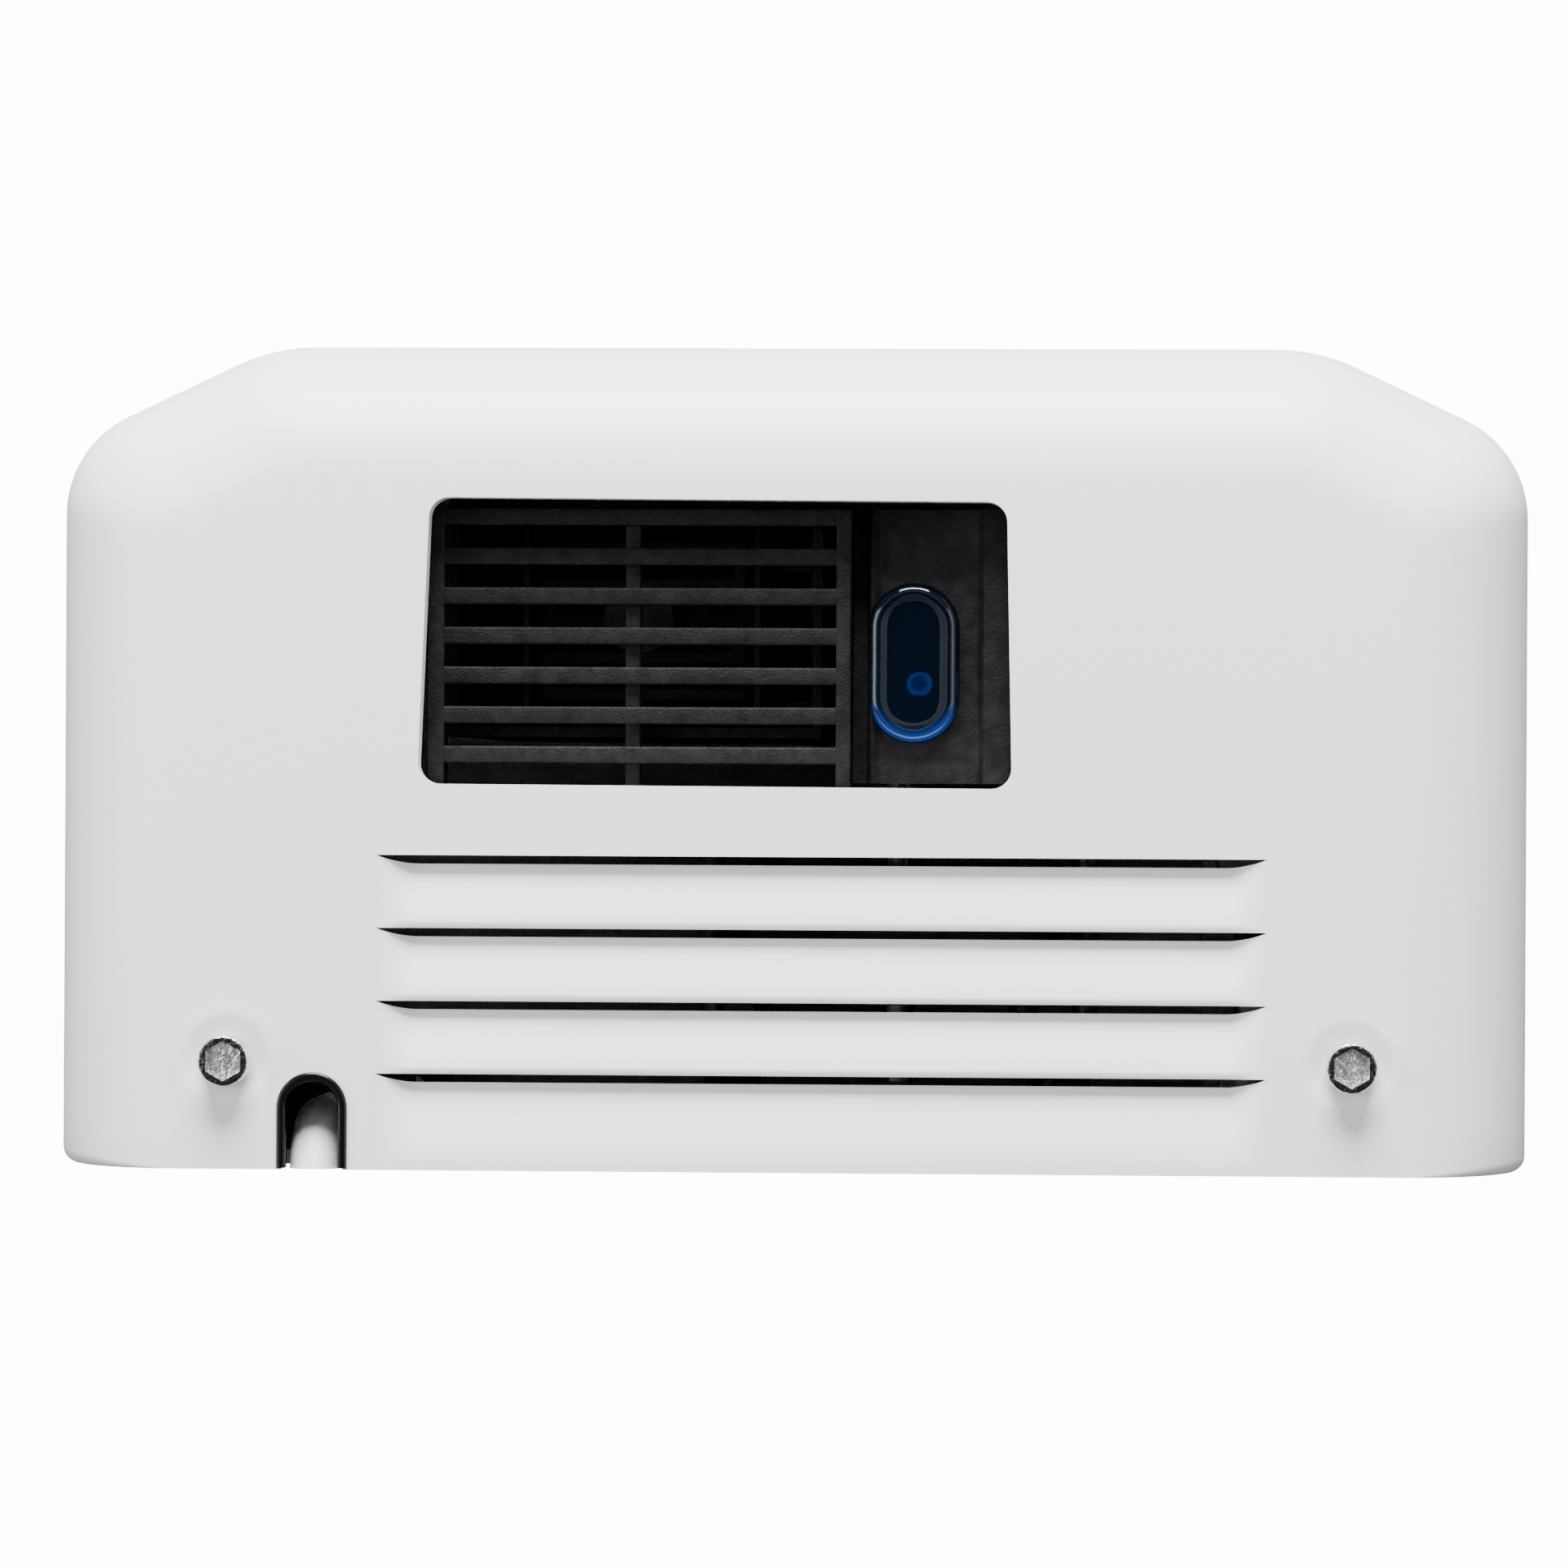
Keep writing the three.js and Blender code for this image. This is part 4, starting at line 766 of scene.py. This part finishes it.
# ---- screws, edging and cable
def build_screw(name, x):
    """A socket screw: the head's profile is turned round Z, then a hexagon is sunk in its face, with a small
    turned centre mark on the hexagon's floor. The shank runs on through the sheet."""
    low, high = (np.array(corner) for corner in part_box(name))
    radius = (high[0] - low[0]) / 2
    edge, shank, end_chamfer = 0.7 * MM, 2.9 * MM, 0.6 * MM
    socket_reach, socket_depth = 4.0 * MM, 2.4 * MM
    face, seat = low[2], BOTTOM - 0.3 * MM
    round_edge = [(radius - edge * (1 - np.cos(a)), face + edge * (1 - np.sin(a)))
                  for a in np.linspace(0, np.pi / 2, 7)]
    profile = [(0, face)] + round_edge[::-1] + [
        (radius, seat - 0.4 * MM), (radius - 0.3 * MM, seat), (shank, seat), (shank, high[2] - end_chamfer),
        (shank - end_chamfer, high[2]), (0, high[2])]
    head = lathe(name + "_head", profile, (x, -SCREW_Y, 0), 64)
    turn = np.linspace(0, 2 * np.pi, 6, endpoint=False) + np.radians(30)
    hexagon = np.column_stack([x + socket_reach * np.cos(turn), -SCREW_Y + socket_reach * np.sin(turn)])
    combine(head, "DIFFERENCE", [prism("socket", hexagon, face - 2 * MM, face + socket_depth)])
    mark = lathe(name + "_mark", [(0, face + 2.3 * MM), (0, face + 1.9 * MM), (0.5 * MM, face + 1.8 * MM),
                                  (0.85 * MM, face + 1.9 * MM), (1.0 * MM, face + 2.3 * MM)],
                 (x, -SCREW_Y, 0), 32)
    screw = unite(name + "_turned", [head, mark])
    shade(screw, 32)
    places = vertex_places(screw)
    away = np.hypot(places[:, 0] - x, places[:, 1] + SCREW_Y)
    in_socket = (away < socket_reach + 0.05 * MM) & (places[:, 2] > face + 0.2 * MM) & (places[:, 2] < seat)
    # painted dark reflection: the face round the socket is darkened, while the socket and the rim stay bright
    # steel
    paint_points(screw, "bright", in_socket | (away > radius - 0.25 * MM))
    return screw


def build_edging(sizes):
    """U edging: a rounded C section carried round the notch, its mouth on the sheet's edge."""
    inward, outward, corner = 0.9 * MM, 0.95 * MM, 0.55 * MM
    tall = sizes.sheet / 2 + 1.0 * MM
    line = notch_line(sizes.notch_half, sizes.notch_depth)
    line[[0, -1], 1] = -0.3 * MM
    straight = np.linspace(0, 1, 8)[:, None]
    plan = np.vstack([line[0] + (line[1] - line[0]) * straight, line[2:-2],
                      line[-2] + (line[-1] - line[-2]) * straight])
    path = np.column_stack([plan, np.full(len(plan), BOTTOM + sizes.sheet / 2)])
    heading = np.gradient(path, axis=0)
    heading /= np.linalg.norm(heading, axis=1)[:, None]
    side = np.cross(heading, (0, 0, 1))
    outer = rounded_loop([(-outward, -tall), (inward, -tall), (inward, tall), (-outward, tall)], corner, 6)
    groove, lap = sizes.sheet / 2 + 0.12 * MM, 0.15 * MM
    mouth = np.array([(-outward, groove), (-lap, groove), (-lap, -groove), (-outward, -groove)])
    start = int(np.argmin(np.hypot(*(outer - [-outward, -tall + corner]).T)))
    section = np.vstack([np.roll(outer, -start, axis=0)[1:], mouth])
    return sweep("moulded_edging", section, path, side, 50)


def build_cable(radius, bend):
    """Round cable: straight down, then an arc back to the wall. Points past the wall plane are laid on it."""
    y = float(CABLE_LOW[1]) + radius
    start = BOTTOM + CABLE_BEND_TOP
    angle = np.arccos((bend + y) / (bend + radius))
    turn = np.linspace(0, angle, 28)[1:]
    z = np.concatenate([np.linspace(float(CABLE_HIGH[2]), start, 24), start - bend * np.sin(turn)])
    back = np.concatenate([np.full(24, y), y + bend * (1 - np.cos(turn))])
    path = np.column_stack([np.full(len(z), NOTCH_X), back, z])
    cable = sweep("extruded_cable", circle(0, 0, radius, 48), path, (1, 0, 0), 60)
    places = vertex_places(cable)
    places[:, 1] = np.minimum(places[:, 1], 0)
    cable.data.vertices.foreach_set("co", places.ravel())
    cable.data.update()
    tidy(cable, 1e-5)
    shade(cable, 60)
    return cable


# ---- grille and sensor
def build_grille():
    """Moulded grille: a frame and its bars, each a rounded block a little below the frame's face, united."""
    low, high = GRILLE_LOW, GRILLE_HIGH
    pieces = []
    for i in range(GRILLE_BARS):
        y = low[1] + i * GRILLE_PITCH
        pieces.append(((low[0] + 1.5 * MM, y, low[2] + 0.25 * MM),
                       (high[0] - 1.5 * MM, y + GRILLE_BAR, high[2])))
    for x0, x1, drop in ((low[0], low[0] + 3.5 * MM, 0.0), (high[0] - 3 * MM, high[0], 0.0),
                         (GRILLE_MIDDLE - 1.5 * MM, GRILLE_MIDDLE + 1.5 * MM, 2.2 * MM)):
        pieces.append(((x0, low[1], low[2] + drop), (x1, high[1], high[2])))
    grille, *others = [rounded_box("bar", a, b, 0.45 * MM) for a, b in pieces]
    combine(grille, "UNION", others)
    grille.name = "moulded_grille"
    shade(grille, 40)
    return grille


def rectangle(low, high, inset, radius):
    """A rounded rectangle's outline in X and Y, drawn in by the inset."""
    (x0, y0), (x1, y1) = low[:2] + inset, high[:2] - inset
    return rounded_loop([(x0, y0), (x1, y0), (x1, y1), (x0, y1)], radius, 5)


def build_housing():
    """Sensor block: its lower face is a grid, a smooth hollow deepest under the lens's front end, with a
    step up towards its right side. The sides rise to the open top, and the lens's slot is cut through."""
    low, high = HOUSING_LOW, HOUSING_HIGH
    gx, gy = np.meshgrid(np.linspace(low[0], high[0], 90), np.linspace(low[1], high[1], 110))
    across = (gx - low[0]) / (high[0] - low[0])
    along = (gy - low[1]) / (high[1] - low[1])
    hollow = 2.6 * MM * np.sin(np.pi * np.clip(across / 0.72, 0, 1)) ** 0.7
    hollow *= smooth_step((0.42 - along) / 0.42)
    channel = 7.0 * MM * smooth_step((0.11 - across) / 0.03)
    step = 2.0 * MM * (1 - smooth_step((across - 0.70) / 0.03)) * smooth_step((across - 0.1) / 0.06)
    rim = 1.8 * MM * smooth_step((across - 0.92) / 0.02)
    face = low[2] + hollow + channel + step + rim
    bottom = np.stack([gx, gy, face], axis=2).reshape(-1, 3)
    top = np.stack([gx, gy, np.full_like(gx, low[2] + 8.5 * MM)], axis=2).reshape(-1, 3)
    count = gx.size
    index = np.arange(count).reshape(gx.shape)
    rim_line = np.concatenate([index[0, :-1], index[:-1, -1], index[-1, :0:-1], index[:0:-1, 0]])
    follow = np.roll(rim_line, -1)
    sides = np.column_stack([rim_line, follow, follow + count, rim_line + count])
    quads = grid_faces(*gx.shape)
    block = make_object("sensor_block", np.vstack([bottom, top]),
                        np.vstack([quads, quads[:, ::-1] + count, sides]), 30)
    lens = (LENS_LOW + LENS_HIGH) / 2
    wide, long, _ = LENS_HIGH - LENS_LOW + 0.4 * MM
    slot = prism("slot", stadium(lens[0], lens[1], wide, long), low[2] - 5 * MM, low[2] + 11 * MM)
    combine(block, "DIFFERENCE", [slot])
    body = make_box_shell("sensor_box", low + [0, 0, 8.0 * MM], high, 2.2 * MM)
    made = unite("sensor_block_and_box", [block, body])
    shade(made, 30)
    return made


def make_box_shell(name, low, high, wall):
    """Four upright walls."""
    outer, inner = rectangle(low, high, 0, 1.0 * MM), rectangle(low, high, wall, 0.6 * MM)
    rings = [np.column_stack([loop, np.full(len(loop), z)])
             for loop, z in ((outer, low[2]), (outer, high[2]), (inner, high[2]), (inner, low[2]))]
    return make_object(name, np.vstack(rings),
                       grid_faces(4, len(outer), close_rows=True, close_columns=True), 40)


def build_lens():
    """Lens cap: stadium rings from the open top down the side, round the rim, over a slightly domed face and
    back up the inside. Each ring is the outline drawn in by its own amount."""
    low, high = LENS_LOW, LENS_HIGH
    middle = (low + high) / 2
    wide, long, _ = high - low
    wall, rim, inner_rim, floor_edge = 1.5 * MM, 1.8 * MM, 0.9 * MM, wide / 2 - 0.5 * MM
    turn = np.linspace(0, np.pi / 2, 9)
    outer = [(0.0, high[2])]
    outer += [(rim * (1 - np.cos(a)), low[2] + rim * (1 - np.sin(a))) for a in turn]
    outer += [(d, low[2] + 0.5 * MM * smooth_step((d - rim) / (2 * MM)))
              for d in np.linspace(rim, floor_edge, 10)[1:]]
    inner = [(floor_edge, low[2] + wall + 0.5 * MM)]
    inner += [(wall + inner_rim * (1 - np.cos(a)), low[2] + wall + inner_rim * (1 - np.sin(a)))
              for a in turn[::-1]]
    inner += [(wall, high[2])]
    rings = []
    for inset, z in outer + inner:
        loop = stadium(middle[0], middle[1], wide - 2 * inset, long - 2 * inset)
        rings.append(np.column_stack([loop, np.full(len(loop), z)]))
    count, split = len(rings[0]), len(outer)
    faces = grid_faces(len(rings), count, close_rows=True, close_columns=True).tolist()
    del faces[(split - 1) * count:split * count]
    faces.append(list(range((split - 1) * count, split * count)))
    faces.append(list(range(split * count, (split + 1) * count))[::-1])
    lens = make_object("moulded_lens", np.vstack(rings), faces, 40)
    points = vertex_places(lens)
    radius = wide / 2
    away_y = np.maximum(np.abs(points[:, 1] - middle[1]) - (long / 2 - radius), 0)
    edge = np.hypot(points[:, 0] - middle[0], away_y) / radius
    rear = (points[:, 1] - middle[1]) / (long / 2)
    # painted light: the rim towards the wall glows, though the lens is no lamp
    paint_points(lens, "glow", smooth_step((edge - 0.7) / 0.2) * smooth_step((rear - 0.45) / 0.4))
    return lens


def build_lamp():
    """Epoxy lamp: a flanged cylinder with a domed end, turned round Z. Its die lights a ring of it."""
    low, high = (np.array(corner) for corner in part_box("ir_emitter"))
    middle = (low + high) / 2
    flange = (high[0] - low[0]) / 2
    barrel = flange * 0.86
    profile = [(barrel * np.sin(a), low[2] + barrel * (1 - np.cos(a))) for a in np.linspace(0, np.pi / 2, 10)]
    profile += [(barrel, high[2] - 1.2 * MM), (flange, high[2] - 1.0 * MM), (flange, high[2]), (0, high[2])]
    lamp = lathe("domed_lamp", profile, (middle[0], middle[1], 0), 40)
    points = vertex_places(lamp)
    away = np.hypot(points[:, 0] - middle[0], points[:, 1] - middle[1]) / flange
    paint_points(lamp, "glow", 0.25 + 0.75 * (np.abs(away - 0.75) < 0.16))
    return lamp


def build_receiver():
    """Receiver block with a raised round eye."""
    low, high = (np.array(corner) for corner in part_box("ir_receiver"))
    middle = (low + high) / 2
    block = rounded_box("receiver", low + [0, 0, 1.4 * MM], high, 0.5 * MM)
    profile = [(0, low[2]), (1.2 * MM, low[2] + 0.3 * MM), (2.2 * MM, low[2] + 1.2 * MM),
               (2.3 * MM, low[2] + 2.4 * MM), (0, low[2] + 2.4 * MM)]
    eye = lathe("eye", profile, (middle[0], middle[1], 0), 32)
    return unite("moulded_receiver", [block, eye])


# ---- operators
def need_finishes():
    """Stops a piece that is made before the finishes are."""
    if not FINISHES:
        raise RuntimeError("run Finishes before the pieces")


class DRYER_OT_finishes(bpy.types.Operator):
    """Makes every finish and gives each piece that keeps its own shape the finish of its slot"""
    bl_idname = "dryer.finishes"
    bl_label = "Finishes"

    def execute(self, context):
        make_finishes(context.scene.dryer_colours)
        slots = {part["node"]: part["material_slot"] for part in frame["record"]["subparts"]}
        slots.update(thermal_cutout="bakelite", terminal_block="bakelite", cable_clamp="bakelite")
        for name, node in frame["nodes"].items():
            node.data.materials.clear()
            node.data.materials.append(FINISHES[slots[name]])
        return {"FINISHED"}


def matt(name, level, roughness):
    """A plain matt grey for the stage."""
    made = bpy.data.materials.new(name)
    made.use_nodes = True
    shader = made.node_tree.nodes["Principled BSDF"]
    shader.inputs["Base Color"].default_value = (level, level, level, 1)
    shader.inputs["Roughness"].default_value = roughness
    return made


def level_card(name, x0, x1, y0, y1, z, finish):
    """A level rectangle for the stage."""
    card = make_object(name, [(x0, y0, z), (x1, y0, z), (x1, y1, z), (x0, y1, z)], [[0, 1, 2, 3]])
    card.data.materials.append(finish)
    return card


class DRYER_OT_stage(bpy.types.Operator):
    """Adds the floor, the lights, the background and the camera"""
    bl_idname = "dryer.stage"
    bl_label = "Stage"

    def execute(self, context):
        scene = context.scene
        floor = level_card("floor", -6, 6, -6, 6, FLOOR_Z, matt("pale_floor", 0.85, 0.8))
        card = level_card("camera_flag", -0.45, 0.55, -0.55, 0.4, FLAG_Z, matt("black_flag", 0.015, 0.9))
        scene.world = scene.world or bpy.data.worlds.new("studio")
        scene.world.use_nodes = True
        tree = scene.world.node_tree
        sky = tree.nodes["Background"]
        seen = add(tree, "ShaderNodeLightPath").outputs["Is Camera Ray"]
        level = add(tree, "ShaderNodeMapRange", Value=seen, To_Min=SKY_LIGHT, To_Max=SKY_SEEN)
        tree.links.new(level.outputs["Result"], sky.inputs["Strength"])
        sky.inputs["Color"].default_value = (1, 1, 1, 1)
        for name, place, power in SOFT_BOXES:
            data = bpy.data.lights.new(name, "AREA")
            data.size = SOFT_BOX_SIDE
            data.energy = power
            lamp = bpy.data.objects.new(name, data)
            scene.collection.objects.link(lamp)
            aim = Vector((0, -0.08, BOTTOM)) - Vector(place)
            lamp.matrix_world = Matrix.Translation(place) @ aim.to_track_quat("-Z", "Y").to_matrix().to_4x4()
        data = bpy.data.cameras.new("camera")
        data.sensor_width = 36
        data.lens = CAMERA_LENS
        camera = bpy.data.objects.new("camera", data)
        scene.collection.objects.link(camera)
        place = Vector(CAMERA_PLACE)
        forward = (Vector(CAMERA_AIM) - place).normalized()
        right = forward.cross(Vector((0, -1, 0))).normalized()
        turn = Matrix((right, right.cross(forward), -forward)).transposed()
        roll = Matrix.Rotation(np.radians(CAMERA_ROLL), 3, "Z")
        camera.matrix_world = Matrix.Translation(place) @ (turn @ roll).to_4x4()
        scene.camera = camera
        return {"FINISHED"}


class DRYER_OT_cover(bpy.types.Operator):
    """Makes the pressed steel cover"""
    bl_idname = "dryer.cover"
    bl_label = "Cover"

    def execute(self, context):
        need_finishes()
        cover = build_cover(context.scene.dryer_cover)
        dress(cover, "powder_coat", "cover", "cover_shell")
        return {"FINISHED"}


class DRYER_OT_fixings(bpy.types.Operator):
    """Makes the two socket screws, the notch edging and the cable"""
    bl_idname = "dryer.fixings"
    bl_label = "Screws, edging and cable"

    def execute(self, context):
        need_finishes()
        sizes = context.scene.dryer_cover
        for word, side in (("left", -1), ("right", 1)):
            name = "cover_screw_" + word
            dress(build_screw(name, side * sizes.screw_x), "bright_steel", "cover", name,
                  finish="screw_steel")
        dress(build_edging(sizes), "black_rubber", "cover", "cable_notch_edging")
        dress(build_cable(CABLE_RADIUS, CABLE_BEND), "grey_pvc", "base", "supply_cable")
        return {"FINISHED"}


class DRYER_OT_outlet(bpy.types.Operator):
    """Makes the outlet grille and the sensor with its lens, lamp and receiver"""
    bl_idname = "dryer.outlet"
    bl_label = "Grille and sensor"

    def execute(self, context):
        need_finishes()
        dress(build_grille(), "black_plastic", "base", "outlet_grille")
        dress(build_housing(), "black_plastic", "base", "sensor_housing")
        dress(build_lens(), "blue_lens", "base", "sensor_lens")
        dress(build_lamp(), "clear_epoxy", "base", "ir_emitter")
        dress(build_receiver(), "black_plastic", "base", "ir_receiver")
        return {"FINISHED"}


class DRYER_PT_panel(bpy.types.Panel):
    """Lists the steps in order, with the cover's sizes and the colours"""
    bl_idname = "DRYER_PT_panel"
    bl_label = "Hand dryer"
    bl_space_type = "VIEW_3D"
    bl_region_type = "UI"
    bl_category = "Hand dryer"

    def draw(self, context):
        for step in STEPS:
            self.layout.operator(step.bl_idname)
        for group in (context.scene.dryer_cover, context.scene.dryer_colours):
            for name in group.__annotations__:
                self.layout.prop(group, name)


STEPS = [DRYER_OT_stage, DRYER_OT_finishes, DRYER_OT_cover, DRYER_OT_fixings, DRYER_OT_outlet]
CLASSES = [DryerCoverSizes, DryerColours, *STEPS, DRYER_PT_panel]


def register():
    """Registers the classes and hangs the sizes and colours on the scene."""
    for cls in CLASSES:
        bpy.utils.register_class(cls)
    bpy.types.Scene.dryer_cover = bpy.props.PointerProperty(type=DryerCoverSizes)
    bpy.types.Scene.dryer_colours = bpy.props.PointerProperty(type=DryerColours)


def unregister():
    """Takes the sizes, the colours and the classes away again."""
    del bpy.types.Scene.dryer_colours
    del bpy.types.Scene.dryer_cover
    for cls in reversed(CLASSES):
        bpy.utils.unregister_class(cls)


def main():
    """Builds everything in order."""
    register()
    bpy.ops.dryer.stage()
    bpy.ops.dryer.finishes()
    bpy.ops.dryer.cover()
    bpy.ops.dryer.fixings()
    bpy.ops.dryer.outlet()


if __name__ == "__main__":
    main()
